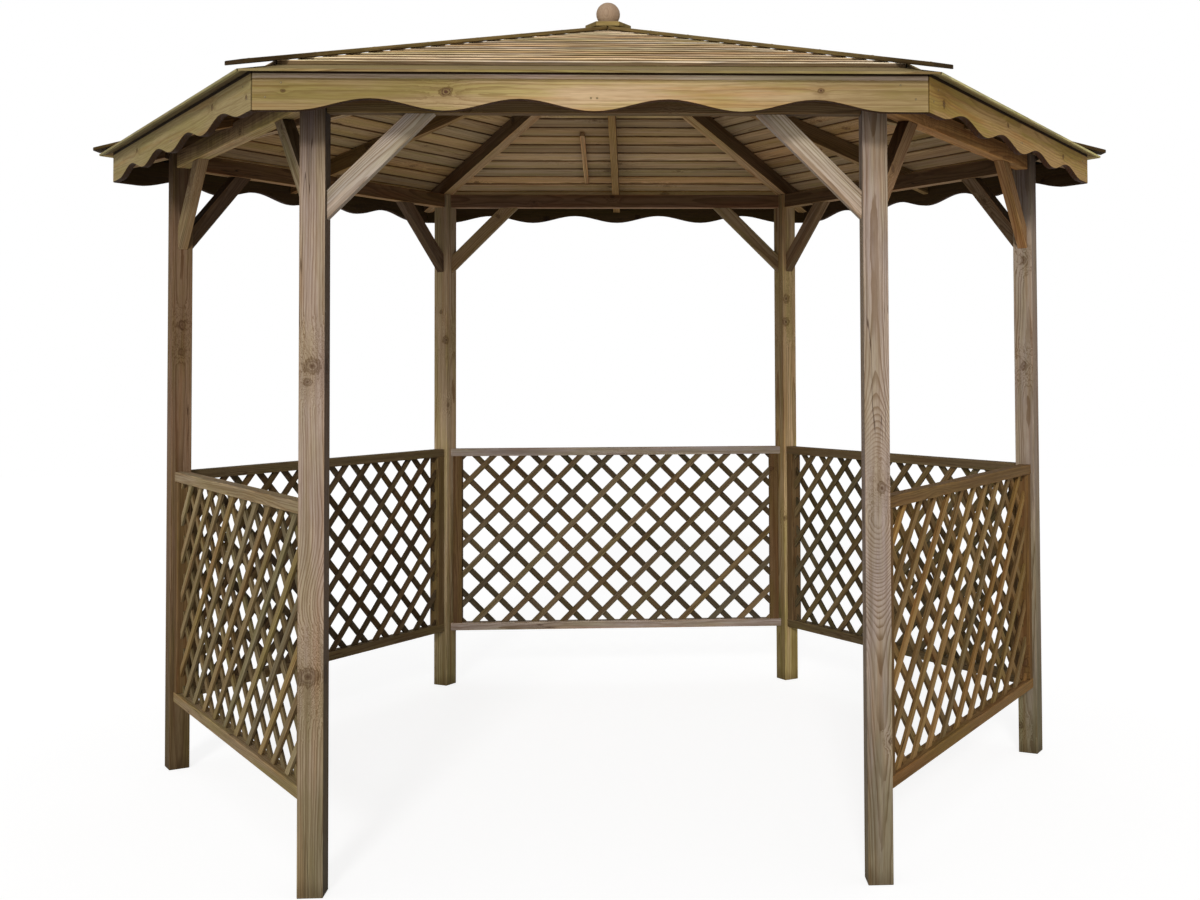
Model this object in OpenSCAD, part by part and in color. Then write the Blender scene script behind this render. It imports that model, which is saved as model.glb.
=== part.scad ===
// Hexagonal timber garden pavilion: six posts, wall beams with knee braces,
// five trellis panels, and a low six-sided roof of lapped boards.
// Lengths are in millimetres. The origin is on the ground under the finial,
// +Z is up, and the open entrance side faces -Y.

/* [Plan] */
// Distance between the centres of neighbouring posts
side = 1500; // [1300:10:1800]
// Height of the top of the wall beams above the ground
plate_z = 2140; // [1700:5:2400]
// Distance from the post centre line out to the face of the fascia
fascia_out = 203; // [170:1:240]
// Distance that the lowest roof board reaches past the fascia
eave_out = 41; // [20:1:80]
// Roof pitch, measured square to a side
pitch = 16; // [12:0.5:20]

/* [Posts, beams and braces] */
// Width of the square posts
post_w = 68; // [60:1:80]
// Height of the wall beams
beam_h = 58; // [50:1:80]
// Height of the deeper wall beam over the entrance
lintel_h = 78; // [50:1:100]
// Thickness of the wall beams
beam_t = 45; // [35:1:55]
// Distance that a knee brace reaches from the corner of post and beam
brace_reach = 319; // [260:1:360]
// Width of a knee brace across its face
brace_w = 55; // [40:1:65]
// Thickness of the knee braces
brace_t = 34; // [25:1:40]

/* [Trellis] */
// Height of the bottom edge of the trellis above the ground
trellis_z = 234; // [150:1:300]
// Height of a trellis panel
trellis_h = 790; // [600:10:900]
// Face width of the trellis rails
rail_w = 33; // [25:1:45]
// Face width of the trellis stiles
stile_w = 34; // [25:1:45]
// Thickness of the trellis frame
frame_t = 44; // [30:1:50]
// Distance from a post's centre to the outer edge of a stile
stile_in = 40; // [38:1:60]
// Spacing of the laths, measured along a rail
lath_pitch = 129; // [110:1:170]
// Width of a lath
lath_w = 24; // [18:1:30]
// Thickness of a lath
lath_t = 9; // [6:0.5:12]

/* [Fascia] */
// Height of the fascia boards
fascia_h = 105; // [80:1:130]
// Thickness of the fascia boards
fascia_t = 20; // [16:1:25]
// Number of scallops along a fascia
scallops = 4; // [3:1:6]
// Depth of the scallops
scallop_d = 31; // [15:1:40]
// Straight length left at each end of a fascia
scallop_end = 107; // [60:1:150]

/* [Roof] */
// Width of the hip rafters
rafter_w = 45; // [35:1:60]
// Depth of the hip rafters, square to their slope
rafter_d = 62; // [50:1:80]
// Width of the rafters in the middle of each roof face
jack_w = 30; // [24:1:45]
// Height of the flat eave board that shows below the first lap
eave_show = 126; // [80:1:150]
// Height of roof board that shows between one lap and the next
board_show = 84; // [70:1:100]
// Length of roof board hidden under the next one
board_lap = 12; // [8:1:20]
// Thickness of the roof boards at their lower edge
board_t = 12; // [10:0.5:16]
// Thickness of the roof boards at their upper edge
board_top_t = 5; // [4:0.5:8]
// Width of the strips over the hips
hip_cap_w = 65; // [50:1:80]
// Thickness of the strips over the hips
hip_cap_t = 9; // [8:1:16]
// Distance that the hip strips reach past the corner of the eaves
hip_cap_out = 11; // [0:1:30]

/* [Peak] */
// Width of the block where the rafters meet, across its flats
block_w = 100; // [90:1:110]
// Length of the block below the rafters
block_drop = 14; // [5:1:30]
// Width of the peak plate across its corners
plate_w = 164; // [150:1:200]
// Thickness of the peak plate
plate_t = 16; // [12:1:22]
// Diameter of the finial ball
ball_d = 85; // [70:1:100]
// Depth of the flat on which the ball stands
ball_flat = 3; // [1:0.5:6]

/* [Splice batten] */
// Width of the batten under the back roof face
batten_w = 20; // [15:1:30]
// Thickness of that batten
batten_t = 16; // [10:1:20]
// Length of that batten, measured level
batten_l = 480; // [300:10:600]
// Distance from that batten to the middle rafter, centre to centre
batten_off = 127; // [80:1:200]

/* [Hidden] */

post_colour = "rosybrown";
beam_colour = "saddlebrown";
trellis_colour = "sienna";
fascia_colour = "darkkhaki";
roof_colour = "tan";
cap_colour = "burlywood";

// Sides are counted from the front, anticlockwise seen from above. Side k
// runs from corner k - 1 to corner k, and corner 0 is the front right one.
sides = 6;
turn = 360 / sides;
front = 0;
front_right = 1;
back_right = 2;
back = 3;
back_left = 4;
front_left = 5;
// The side that each corner's post stands square to
square_to = [front, front_right, back_right, back_left, front_left, front];

half = turn / 2;
// Distance from the middle to the centre line of a side
wall_a = side * cos(half);
fascia_a = wall_a + fascia_out;
eave_a = fascia_a + eave_out;
// Amount by which fused pieces run into each other
bite = 0.4;
// Gap left where two pieces only rest on each other
seat = 0.3;
// Gap left on each side of a hip between the roof boards
hip_gap = 2;
// Gap between the roof boards and the peak block
peak_gap = 2;

slope = tan(pitch);
hip_slope = slope * cos(half);
hip_pitch = atan(hip_slope);
// The hip rafters bear on their posts from the inner face to the outer corner
hip_seat = side - post_w / 2;
hip_heel = side + post_w / 2 / cos(45);
// A flat-topped hip rafter lies this much lower so its edges clear the boards
hip_drop = rafter_w / 2 * sin(half) * slope;
// Height of the underside of the roof boards over the middle
apex_z = plate_z + rafter_d / cos(hip_pitch) + hip_drop + hip_seat * hip_slope;

board_l = board_show + board_lap;
// Thickness of a board where the next one rests on it
lap_t = board_top_t + (board_t - board_top_t) * board_lap / board_l;
// Lean of each board on the one below it
board_tilt = asin((lap_t - bite) / board_show);
// Height of a leaning board's lower edge above the rafters
board_lift = board_l * sin(board_tilt);
// Height of the laps' upper edges above the underside of the roof, upright
lap_z = (board_lift + board_t * cos(board_tilt)) / cos(pitch);
hip_cap_z = apex_z + lap_z + seat;
hip_cap_up = hip_cap_t / cos(hip_pitch);
eave_r = eave_a / cos(half);
block_r = block_w / 2 / cos(half);
hip_cap_in = block_r + peak_gap;
peak_z = hip_cap_z + hip_cap_up - hip_cap_in * hip_slope + seat;
// A length that reaches past the whole building
beyond = 2 * eave_r;

// Height of the underside of the roof boards, a given distance out
function roof_z(a) = apex_z - a * slope;
// The same along a hip
function hip_z(r) = apex_z - r * hip_slope;
function corner_angle(c) = turn * (c - 1);
function beam_depth(k) = k == front ? lintel_h : beam_h;
// Rise of the scalloped edge at a distance from the middle of a fascia
function scallop_z(x, p) = scallop_d * (1 - cos(360 * x / p)) / 2;

// Places a piece that was drawn on the front side onto side k
module on_side(k) {
    rotate([0, 0, turn * k]) children();
}

// Places a piece that was drawn along +X onto the hip over corner c
module on_hip(c) {
    rotate([0, 0, corner_angle(c)]) children();
}

// Draws an outline seen from the front as a slab centred on the wall line
module wall_slab(t) {
    translate([0, -wall_a, 0])
        rotate([90, 0, 0])
            linear_extrude(t, center = true) children();
}

// Draws a section across a side, with x running inwards, along that side
module along_side(l) {
    rotate([90, 0, 90]) linear_extrude(l, center = true) children();
}

// Upright wedge between two hips, kept clear of the hips by inset
module wedge(inset, a_in, a_out) {
    half_in = a_in * tan(half) - inset / cos(half);
    half_out = a_out * tan(half) - inset / cos(half);
    linear_extrude(2 * apex_z)
        polygon([
            [-half_in, -a_in],
            [half_in, -a_in],
            [half_out, -a_out],
            [-half_out, -a_out],
        ]);
}

// The square bar of the post at corner c, up to height h
module post_bar(c, h) {
    on_hip(c)
        translate([side, 0, 0])
            rotate([0, 0, turn * square_to[c] - corner_angle(c)])
                translate([-post_w / 2, -post_w / 2, 0])
                    cube([post_w, post_w, h]);
}

// Cuts a piece of side k to fit against the posts at its ends
module between_posts(k) {
    difference() {
        on_side(k) children();
        post_bar((k + sides - 1) % sides, apex_z);
        post_bar(k, apex_z);
    }
}

module post(c) {
    color(post_colour) post_bar(c, plate_z);
}

module beam(k) {
    h = beam_depth(k);
    color(beam_colour)
        between_posts(k)
            wall_slab(beam_t)
                translate([-side / 2, plate_z - h])
                    square([side, h]);
}

// One knee brace, from the post at the left of a side up to its beam
module brace_outline(k) {
    inner = brace_reach - brace_w / cos(45);
    translate([-side / 2, plate_z - beam_depth(k)])
        polygon([[0, -inner], [0, -brace_reach], [brace_reach, 0], [inner, 0]]);
}

module braces(k) {
    color(post_colour)
        between_posts(k)
            wall_slab(brace_t) {
                brace_outline(k);
                mirror([1, 0]) brace_outline(k);
            }
}

module trellis_frame() {
    stile_x = side / 2 - stile_in;
    wall_slab(frame_t)
        for (z = [trellis_z, trellis_z + trellis_h - rail_w])
            translate([-side / 2, z]) square([side, rail_w]);
    wall_slab(frame_t)
        for (x = [-stile_x, stile_x - stile_w])
            translate([x, trellis_z]) square([stile_w, trellis_h]);
}

// One layer of parallel laths, cut to fill the opening of the frame
module laths(angle) {
    open_w = side - 2 * (stile_in + stile_w) + 2 * bite;
    open_h = trellis_h - 2 * rail_w + 2 * bite;
    count = floor((open_w + open_h) / 2 / lath_pitch);
    intersection() {
        square([open_w, open_h], center = true);
        for (i = [-count:count])
            translate([i * lath_pitch, 0])
                rotate(angle)
                    square([2 * open_w, lath_w], center = true);
    }
}

module trellis(k) {
    mid_z = trellis_z + trellis_h / 2;
    color(trellis_colour) union() {
        between_posts(k) trellis_frame();
        on_side(k)
            translate([0, -wall_a, mid_z])
                rotate([90, 0, 0]) {
                    translate([0, 0, -bite]) linear_extrude(lath_t + bite) laths(45);
                    translate([0, 0, -lath_t]) linear_extrude(lath_t) laths(-45);
                }
    }
}

// Fascia board seen from the front, with its lower edge cut in scallops
module fascia_outline() {
    half_l = fascia_a * tan(half);
    p = 2 * (half_l - scallop_end) / scallops;
    wave_l = scallops * p / 2;
    steps = 16 * scallops;
    shift = scallops % 2 == 0 ? 0 : p / 2;
    edge = [for (i = [0:steps])
        let (x = -wave_l + 2 * wave_l * i / steps) [x, scallop_z(x + shift, p)]];
    polygon(concat([[-half_l, fascia_h], [-half_l, 0]], edge, [[half_l, 0], [half_l, fascia_h]]));
}

module fascia(k) {
    color(fascia_colour)
        on_side(k)
            intersection() {
                translate([0, fascia_t - fascia_a, roof_z(fascia_a) - fascia_h])
                    rotate([90, 0, 0]) linear_extrude(fascia_t) fascia_outline();
                wedge(0, fascia_a - fascia_t, fascia_a);
            }
}

// Section through one roof face: a flat eave board lies on the rafters, and
// each tapered board above it leans on the upper edge of the one below.
module roof_section() {
    count = ceil((eave_a / cos(pitch) - eave_show) / board_show);
    translate([-eave_a, roof_z(eave_a)])
        rotate(pitch) {
            square([eave_show + board_lap, board_lift + bite]);
            for (i = [0:count - 1])
                translate([eave_show + i * board_show, board_lift])
                    rotate(-board_tilt)
                        polygon([[0, 0], [board_l, 0], [board_l, board_top_t], [0, board_t]]);
        }
}

module roof(k) {
    color(roof_colour)
        on_side(k)
            intersection() {
                along_side(beyond) roof_section();
                wedge(hip_gap, block_r + peak_gap, eave_a + eave_out);
            }
}

// Hip rafter from the peak block to the corner of the fascia, notched to
// sit flat on its post and on the ends of the beams
module hip_rafter(c) {
    difference() {
        intersection() {
            on_hip(c)
                rotate([90, 0, 0])
                    linear_extrude(rafter_w, center = true)
                        polygon([
                            [block_w / 2, hip_z(block_w / 2) - hip_drop],
                            [block_w / 2, plate_z + (hip_seat - block_w / 2) * hip_slope],
                            [eave_r, plate_z + (hip_seat - eave_r) * hip_slope],
                            [eave_r, hip_z(eave_r) - hip_drop],
                        ]);
            cylinder(r = (fascia_a - fascia_t) / cos(half), h = 2 * apex_z, $fn = sides);
        }
        on_hip(c)
            translate([0, -rafter_w, 0]) cube([hip_heel, 2 * rafter_w, plate_z]);
    }
}

module hip_rafters() {
    color(beam_colour)
        for (c = [0:sides - 1]) hip_rafter(c);
}

// Rafter up the middle of a roof face, notched over the wall beam and
// bevelled at its head to fit between two hip rafters
module middle_rafter(k) {
    seat_a = wall_a - beam_t / 2;
    depth = roof_z(seat_a) - plate_z;
    head_a = block_r + peak_gap;
    tail_a = fascia_a - fascia_t;
    on_side(k)
        difference() {
            intersection() {
                along_side(jack_w)
                    polygon([
                        [-tail_a, roof_z(tail_a) - depth],
                        [-head_a, roof_z(head_a) - depth],
                        [-head_a, roof_z(head_a)],
                        [-tail_a, roof_z(tail_a)],
                    ]);
                wedge(rafter_w / 2, head_a, tail_a);
            }
            translate([-jack_w, -wall_a - beam_t / 2, 0])
                cube([2 * jack_w, beam_t, plate_z]);
        }
}

module middle_rafters() {
    color(beam_colour)
        for (k = [0:sides - 1]) middle_rafter(k);
}

module splice_batten() {
    low_a = wall_a - beam_t / 2;
    high_a = low_a - batten_l;
    drop = batten_t / cos(pitch);
    color(beam_colour)
        on_side(back)
            translate([batten_off, 0, 0])
                along_side(batten_w)
                    polygon([
                        [-low_a, roof_z(low_a) - drop],
                        [-high_a, roof_z(high_a) - drop],
                        [-high_a, roof_z(high_a)],
                        [-low_a, roof_z(low_a)],
                    ]);
}

module hip_cap(c) {
    tip = eave_r + hip_cap_out;
    on_hip(c)
        rotate([90, 0, 0])
            linear_extrude(hip_cap_w, center = true)
                polygon([
                    [hip_cap_in, hip_cap_z - hip_cap_in * hip_slope],
                    [tip, hip_cap_z - tip * hip_slope],
                    [tip, hip_cap_z - tip * hip_slope + hip_cap_up],
                    [hip_cap_in, hip_cap_z - hip_cap_in * hip_slope + hip_cap_up],
                ]);
}

module hip_caps() {
    color(cap_colour)
        for (c = [0:sides - 1]) hip_cap(c);
}

// Six-sided block with one flat towards each hip rafter
module peak_block() {
    low_z = plate_z + (hip_seat - block_w / 2) * hip_slope - block_drop;
    color(beam_colour)
        translate([0, 0, low_z])
            rotate([0, 0, half])
                cylinder(r = block_r, h = peak_z - low_z, $fn = sides);
}

module peak_plate() {
    color(cap_colour)
        translate([0, 0, peak_z])
            cylinder(d = plate_w, h = plate_t, $fn = sides);
}

module finial_ball() {
    base_z = peak_z + plate_t;
    color(cap_colour)
        translate([0, 0, base_z])
            intersection() {
                translate([0, 0, ball_d / 2 - ball_flat]) sphere(d = ball_d, $fn = 64);
                cylinder(d = 2 * ball_d, h = ball_d);
            }
}

post(5);  // post_front_left
post(0);  // post_front_right
post(1);  // post_right
post(2);  // post_back_right
post(3);  // post_back_left
post(4);  // post_left
beam(front);  // beam_front
beam(front_right);  // beam_front_right
beam(back_right);  // beam_back_right
beam(back);  // beam_back
beam(back_left);  // beam_back_left
beam(front_left);  // beam_front_left
braces(front);  // braces_front
braces(front_right);  // braces_front_right
braces(back_right);  // braces_back_right
braces(back);  // braces_back
braces(back_left);  // braces_back_left
braces(front_left);  // braces_front_left
trellis(front_right);  // trellis_front_right
trellis(back_right);  // trellis_back_right
trellis(back);  // trellis_back
trellis(back_left);  // trellis_back_left
trellis(front_left);  // trellis_front_left
fascia(front);  // fascia_front
fascia(front_right);  // fascia_front_right
fascia(back_right);  // fascia_back_right
fascia(back);  // fascia_back
fascia(back_left);  // fascia_back_left
fascia(front_left);  // fascia_front_left
roof(front);  // roof_front
roof(front_right);  // roof_front_right
roof(back_right);  // roof_back_right
roof(back);  // roof_back
roof(back_left);  // roof_back_left
roof(front_left);  // roof_front_left
hip_rafters();
middle_rafters();
splice_batten();
hip_caps();
peak_block();
peak_plate();
finial_ball();
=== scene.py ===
"""Finishes a hexagonal timber garden pavilion around its packed frame.

Every timber keeps the size and place of its frame node. It gets softened
arrises, a grain of its own and a finish of treated, weathered pine, into which
some light and shade are painted. The roof boards, the trellis laths and the
fixings are laid out by geometry trees.
"""

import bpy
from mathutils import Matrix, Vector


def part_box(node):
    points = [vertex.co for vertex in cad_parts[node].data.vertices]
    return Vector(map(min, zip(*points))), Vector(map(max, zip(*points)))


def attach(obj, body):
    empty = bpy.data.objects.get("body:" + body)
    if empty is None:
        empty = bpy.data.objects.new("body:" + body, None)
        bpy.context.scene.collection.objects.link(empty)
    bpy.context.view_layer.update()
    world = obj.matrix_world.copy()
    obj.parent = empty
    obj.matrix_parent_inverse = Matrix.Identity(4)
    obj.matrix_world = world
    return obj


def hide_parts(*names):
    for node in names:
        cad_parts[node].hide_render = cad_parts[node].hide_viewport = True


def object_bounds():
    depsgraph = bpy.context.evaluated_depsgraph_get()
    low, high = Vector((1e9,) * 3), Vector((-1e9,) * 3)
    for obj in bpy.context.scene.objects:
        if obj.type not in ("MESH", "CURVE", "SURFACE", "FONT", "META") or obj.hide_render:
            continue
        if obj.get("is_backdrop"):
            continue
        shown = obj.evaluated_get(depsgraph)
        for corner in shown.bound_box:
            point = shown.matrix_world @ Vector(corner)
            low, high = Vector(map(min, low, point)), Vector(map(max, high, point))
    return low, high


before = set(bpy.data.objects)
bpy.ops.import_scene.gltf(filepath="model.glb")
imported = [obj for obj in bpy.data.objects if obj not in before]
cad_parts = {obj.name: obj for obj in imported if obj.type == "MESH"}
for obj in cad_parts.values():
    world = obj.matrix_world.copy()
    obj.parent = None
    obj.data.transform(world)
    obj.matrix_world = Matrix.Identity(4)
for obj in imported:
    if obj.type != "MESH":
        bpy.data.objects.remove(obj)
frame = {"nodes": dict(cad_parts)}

import inspect
import math
import random
from typing import NamedTuple

import bmesh
import bpy
from mathutils import Matrix, Vector

CAD_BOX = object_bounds()
BODY = "root"

bl_info = {
    "name": "Hexagonal Garden Pavilion",
    "version": (1, 0, 0),
    "blender": (4, 5, 0),
    "location": "3D View > Sidebar > Pavilion",
    "description": "Finishes the timbers, roof boards, trellis and fixings of a garden pavilion",
    "category": "Object",
}

# Sides are counted from the front, anticlockwise seen from above.
SIDES = ["front", "front_right", "back_right", "back", "back_left", "front_left"]
POSTS = ["front_left", "front_right", "right", "back_right", "back_left", "left"]
TURN = math.tau / len(SIDES)
HALF_TURN = TURN / 2
FRONT = Vector((0, -1, 0))


def paint(red, green, blue):
    """A colour given as on a paint card, from 0 to 255, in linear light."""
    def linear(part):
        part /= 255
        return part / 12.92 if part <= 0.04045 else ((part + 0.055) / 1.055) ** 2.4

    return (linear(red), linear(green), linear(blue), 1.0)


def box_middle(node):
    """The centre of a frame node's box."""
    low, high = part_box(node)
    return (high + low) / 2


SIDE_L = 2 * box_middle("post_front_right").x
WALL_A = -box_middle("post_front_right").y
# What each vertex is told about its board, as vectors
VECTOR_MARKS = ["grain", "knot_a", "knot_b", "knot_c", "swirl", "cast"]
# How far the laths' ends and the laps run into what holds them
BITE = 0.0004
# How close two corners are when they are one
MERGE = 0.00002
# How much two faces turn when they are still one flat face, meet crisply, or meet at an arris
FLAT_TURN = math.radians(0.4)
CRISP_TURN = math.radians(18)
ARRIS_TURN = math.radians(25)
LATH_ARRIS_TURN = math.radians(40)
# How far a stile's faces lie behind those of the rails
STILE_SET_BACK = 0.0005
# A fascia's screws: from its ends, from its middle, and up from the tips of its scallops
FASCIA_SCREW_IN = (0.035, 0.075)
FASCIA_MIDDLE_SCREW = 0.008
FASCIA_SCREW_UP = (0.035, 0.072)
# A hip strip's screws: from its tip, from one to the next, and the length that stays free of them
HIP_SCREW_IN = 0.05
HIP_SCREW_PITCH = 0.24
HIP_SCREW_CLEAR = 0.15
# Where the line of a hip strip's top reaches its full height, out from the middle
HIP_CAP_START = 0.06
# How far along a knee brace its two screws sit
BRACE_SCREW_SHARES = (0.3, 0.86)
# Roof nails: up from a board's lower edge, and in from the hips
NAIL_UP = 0.022
NAIL_IN = 0.06
# How far a fascia's mitre is opened, and how deep a hip strip beds into the laps
MITRE_GAP = 0.0015
CAP_BED = 0.0025
# Where the camera stands in metres, how it is turned in degrees, and its shift
CAMERA_PLACE = (0.1296, -5.3202, 1.3857)
CAMERA_TURN = (91.870, 0.299, -2.948)
CAMERA_SHIFT = (-0.1021, -0.1117)
# How far the floor reaches from the middle
FLOOR_REACH = 14.0


# Sizes and colours that a user may change

def number(name, text, value, low, high, **kind):
    """A number for a panel of settings."""
    return bpy.props.FloatProperty(name=name, description=text, default=value, min=low, max=high, **kind)


def length(name, text, value):
    """A size in metres for a panel of settings."""
    return number(name, text, value, 0.0001, 5, precision=4, unit="LENGTH")


def tint(name, text, value):
    """A colour for a panel of settings."""
    return bpy.props.FloatVectorProperty(
        name=name, description=text, default=value, size=4, min=0, max=1, subtype="COLOR"
    )


class PavilionTimber(bpy.types.PropertyGroup):
    """How the sawn timbers are worked."""

    arris: length("Arris", "Radius of the softened edges of posts, beams and boards", 0.002)
    # The arris band is bleached by weathering and also painted lighter as a highlight.
    worn_band: length("Worn band", "Width of the weathered band along an arris", 0.005)


class PavilionTrellis(bpy.types.PropertyGroup):
    """Sizes of the trellis panels."""

    rail_w: length("Rail width", "Face width of the rails", 0.033)
    stile_w: length("Stile width", "Face width of the stiles", 0.034)
    stile_in: length("Stile set-in", "From a post's centre to the outer edge of a stile", 0.040)
    lath_pitch: length("Lath pitch", "Spacing of the laths, measured along a rail", 0.129)
    lath_w: length("Lath width", "Width of a lath", 0.024)
    lath_t: length("Lath thickness", "Thickness of a lath", 0.009)
    arris: length("Lath arris", "Softening of the laths' edges", 0.0008)


class PavilionRoof(bpy.types.PropertyGroup):
    """Sizes of the lapped roof boards."""

    pitch: number("Pitch", "Slope of a roof face", math.radians(16), 0.1, 0.8, unit="ROTATION")
    eave_show: length("Eave board", "Height of the flat eave board below the first lap", 0.126)
    show: length("Show", "Height of board between one lap and the next", 0.084)
    lap: length("Lap", "Length of board hidden under the next one", 0.012)
    board_t: length("Lower thickness", "Thickness of a roof board at its lower edge", 0.012)
    top_t: length("Upper thickness", "Thickness of a roof board at its upper edge", 0.005)
    hip_gap: length("Hip gap", "Gap between a board's end and the line of the hip", 0.002)
    peak_gap: length("Peak gap", "Gap between the boards and the peak block", 0.002)
    arris: length("Board arris", "Softening of the boards' edges", 0.001)


class PavilionFixings(bpy.types.PropertyGroup):
    """Sizes of the screws, nails and pins."""

    screw_d: length("Screw head", "Diameter of a screw head", 0.0085)
    nail_d: length("Nail head", "Diameter of a roof nail's head", 0.006)
    pin_d: length("Pin head", "Diameter of a trellis pin's head", 0.0035)


class PavilionFinish(bpy.types.PropertyGroup):
    """Colours of the treated pine."""

    post: tint("Post pine", "Early wood of the posts and braces", paint(168, 149, 126))
    frame: tint("Frame pine", "Early wood of the beams and rafters", paint(124, 101, 72))
    trellis: tint("Trellis pine", "Early wood of the trellis", paint(132, 111, 76))
    fascia: tint("Fascia pine", "Early wood of the fascia boards", paint(180, 162, 114))
    roof: tint("Roof pine", "Early wood of the roof boards", paint(186, 162, 124))
    strip: tint("Strip pine", "Early wood of the hip strips and the peak plate", paint(134, 115, 80))
    ball: tint("Ball pine", "Early wood of the finial ball", paint(182, 156, 130))
    late: tint("Late wood", "What dark growth rings multiply the colour by", (0.5, 0.42, 0.33, 1))
    knot: tint("Knots", "Heart of the knots", paint(80, 54, 36))
    grey: tint("Silvering", "What weathered grey multiplies the colour by", (0.8, 0.82, 0.95, 1))
    olive: tint("Treatment", "What the preservative multiplies the colour by", (0.82, 0.88, 0.6, 1))
    red: tint("Heartwood", "What reddish wood multiplies the colour by", (0.86, 0.64, 0.46, 1))
    zinc: tint("Zinc", "Plating of screws and nails", paint(122, 106, 74))


class PavilionStudio(bpy.types.PropertyGroup):
    """Light, floor and camera."""

    key: number("Key light", "Strength of the high front light", 1.45, 0, 10)
    low: number("Low light", "Strength of the low front light", 0.45, 0, 10)
    key_rise: number("Key height", "Rise of the high front light", math.radians(20), 0, 1.5, unit="ROTATION")
    fill: number("Fill light", "Strength of the even light", 0.42, 0, 5)
    floor: tint("Floor", "Colour of the floor", (0.8, 0.8, 0.8, 1.0))
    lens: number("Lens", "Focal length of the camera", 44.77, 10, 200)


# Writing node trees

class Flow:
    """A socket that can be used in sums. Each step adds a Math node to its tree."""

    def __init__(self, wiring, socket):
        self.wiring = wiring
        self.socket = socket

    def __add__(self, other):
        return self.wiring.math("ADD", self, other)

    def __sub__(self, other):
        return self.wiring.math("SUBTRACT", self, other)

    def __rsub__(self, other):
        return self.wiring.math("SUBTRACT", other, self)

    def __mul__(self, other):
        return self.wiring.math("MULTIPLY", self, other)

    def __truediv__(self, other):
        return self.wiring.math("DIVIDE", self, other)

    __radd__ = __add__
    __rmul__ = __mul__


class Wiring:
    """Adds nodes to a tree and joins them up."""

    def __init__(self, tree):
        self.tree = tree
        self.count = 0

    def add(self, kind, *values, **words):
        """A new node. Words in small letters are its settings, and capitalised ones its inputs."""
        made = self.tree.nodes.new(kind)
        made.location = (200 * (self.count // 4), -220 * (self.count % 4))
        self.count += 1
        inputs = {word: value for word, value in words.items() if word[0].isupper()}
        for word, value in words.items():
            if word not in inputs:
                setattr(made, word, value)
        for socket, value in zip(made.inputs, values):
            self.feed(socket, value)
        for word, value in inputs.items():
            self.feed(made.inputs[word.replace("_", " ")], value)
        return made

    def feed(self, socket, value):
        """Joins a socket to a flow or sets its value."""
        if isinstance(value, Flow):
            self.tree.links.new(value.socket, socket)
        elif value is not None:
            socket.default_value = value

    def flow(self, node, name=0):
        """One output of a node, ready for sums."""
        return Flow(self, node.outputs[name])

    def take(self, kind, *values, output=0, **words):
        """One output of a new node."""
        return self.flow(self.add(kind, *values, **words), output)

    def group(self, rule, **words):
        """A placed copy of a rule's shader group, which is built the first time."""
        if rule not in GROUPS:
            GROUPS[rule] = new_tree(rule, "ShaderNodeTree")
        return self.add("ShaderNodeGroup", node_tree=GROUPS[rule], **words)

    def treat(self, rule, **words):
        """The colour that a shader group puts out."""
        return self.flow(self.group(rule, **words), "Color")

    def math(self, operation, *values):
        return self.take("ShaderNodeMath", *values, operation=operation)

    def split(self, vector):
        """The three parts of a vector."""
        node = self.add("ShaderNodeSeparateXYZ", vector)
        return [self.flow(node, i) for i in range(3)]

    def vector(self, x, y, z):
        return self.take("ShaderNodeCombineXYZ", x, y, z)

    def ramp(self, value, low, high):
        """0 at low, 1 at high and a soft rise in between."""
        return self.take("ShaderNodeMapRange", value, low, high, interpolation_type="SMOOTHSTEP")

    def noise(self, vector, detail=2.0, rough=0.5):
        """Soft noise from 0 to 1."""
        return self.take("ShaderNodeTexNoise", Vector=vector, Scale=1.0, Detail=detail, Roughness=rough)

    def streaks(self, place, along, across, detail=2.0, rough=0.5, shift=0):
        """Noise with one scale along x and another across it."""
        x, y, z = place
        far = z * across + shift if shift else z * across
        return self.noise(self.vector(x * along, y * across, far), detail, rough)

    def mix(self, factor, first, second, blend="MIX"):
        """Two colours mixed by a factor."""
        node = self.add("ShaderNodeMix", factor, data_type="RGBA", blend_type=blend)
        self.feed(node.inputs[6], first)
        self.feed(node.inputs[7], second)
        return self.flow(node, 2)

    def dye(self, factor, colour, by):
        """A colour multiplied by another, as far as the factor says."""
        return self.mix(factor, colour, by, "MULTIPLY")

    def attribute(self, name, output="Fac"):
        """A value or vector stored on the mesh."""
        return self.take("ShaderNodeAttribute", attribute_name=name, output=output)

    def place(self):
        """The place on the object, in metres."""
        return self.take("ShaderNodeTexCoord", output="Object")

    def seen(self):
        """1 for what the camera sees by itself or in a reflection."""
        path = self.add("ShaderNodeLightPath")
        return self.math("MAXIMUM", self.flow(path, "Is Camera Ray"), self.flow(path, "Is Glossy Ray"))


# The starting values of a group's vectors and colours, and sockets that have none
NOWHERE = (0.0, 0.0, 0.0)
WHITE = (1.0, 1.0, 1.0, 1.0)
SHAPE = "NodeSocketGeometry"
FINISH = "NodeSocketMaterial"
OUTPUTS = {"VALUE": "NodeSocketFloat", "RGBA": "NodeSocketColor", "GEOMETRY": SHAPE}
# The shader groups that have been built
GROUPS = {}


def socket_type(start):
    """The type of socket for a starting value, or the type that a word names."""
    if isinstance(start, str):
        return start
    if isinstance(start, tuple):
        return "NodeSocketVector" if len(start) == 3 else "NodeSocketColor"
    return "NodeSocketInt" if isinstance(start, int) else "NodeSocketFloat"


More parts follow.
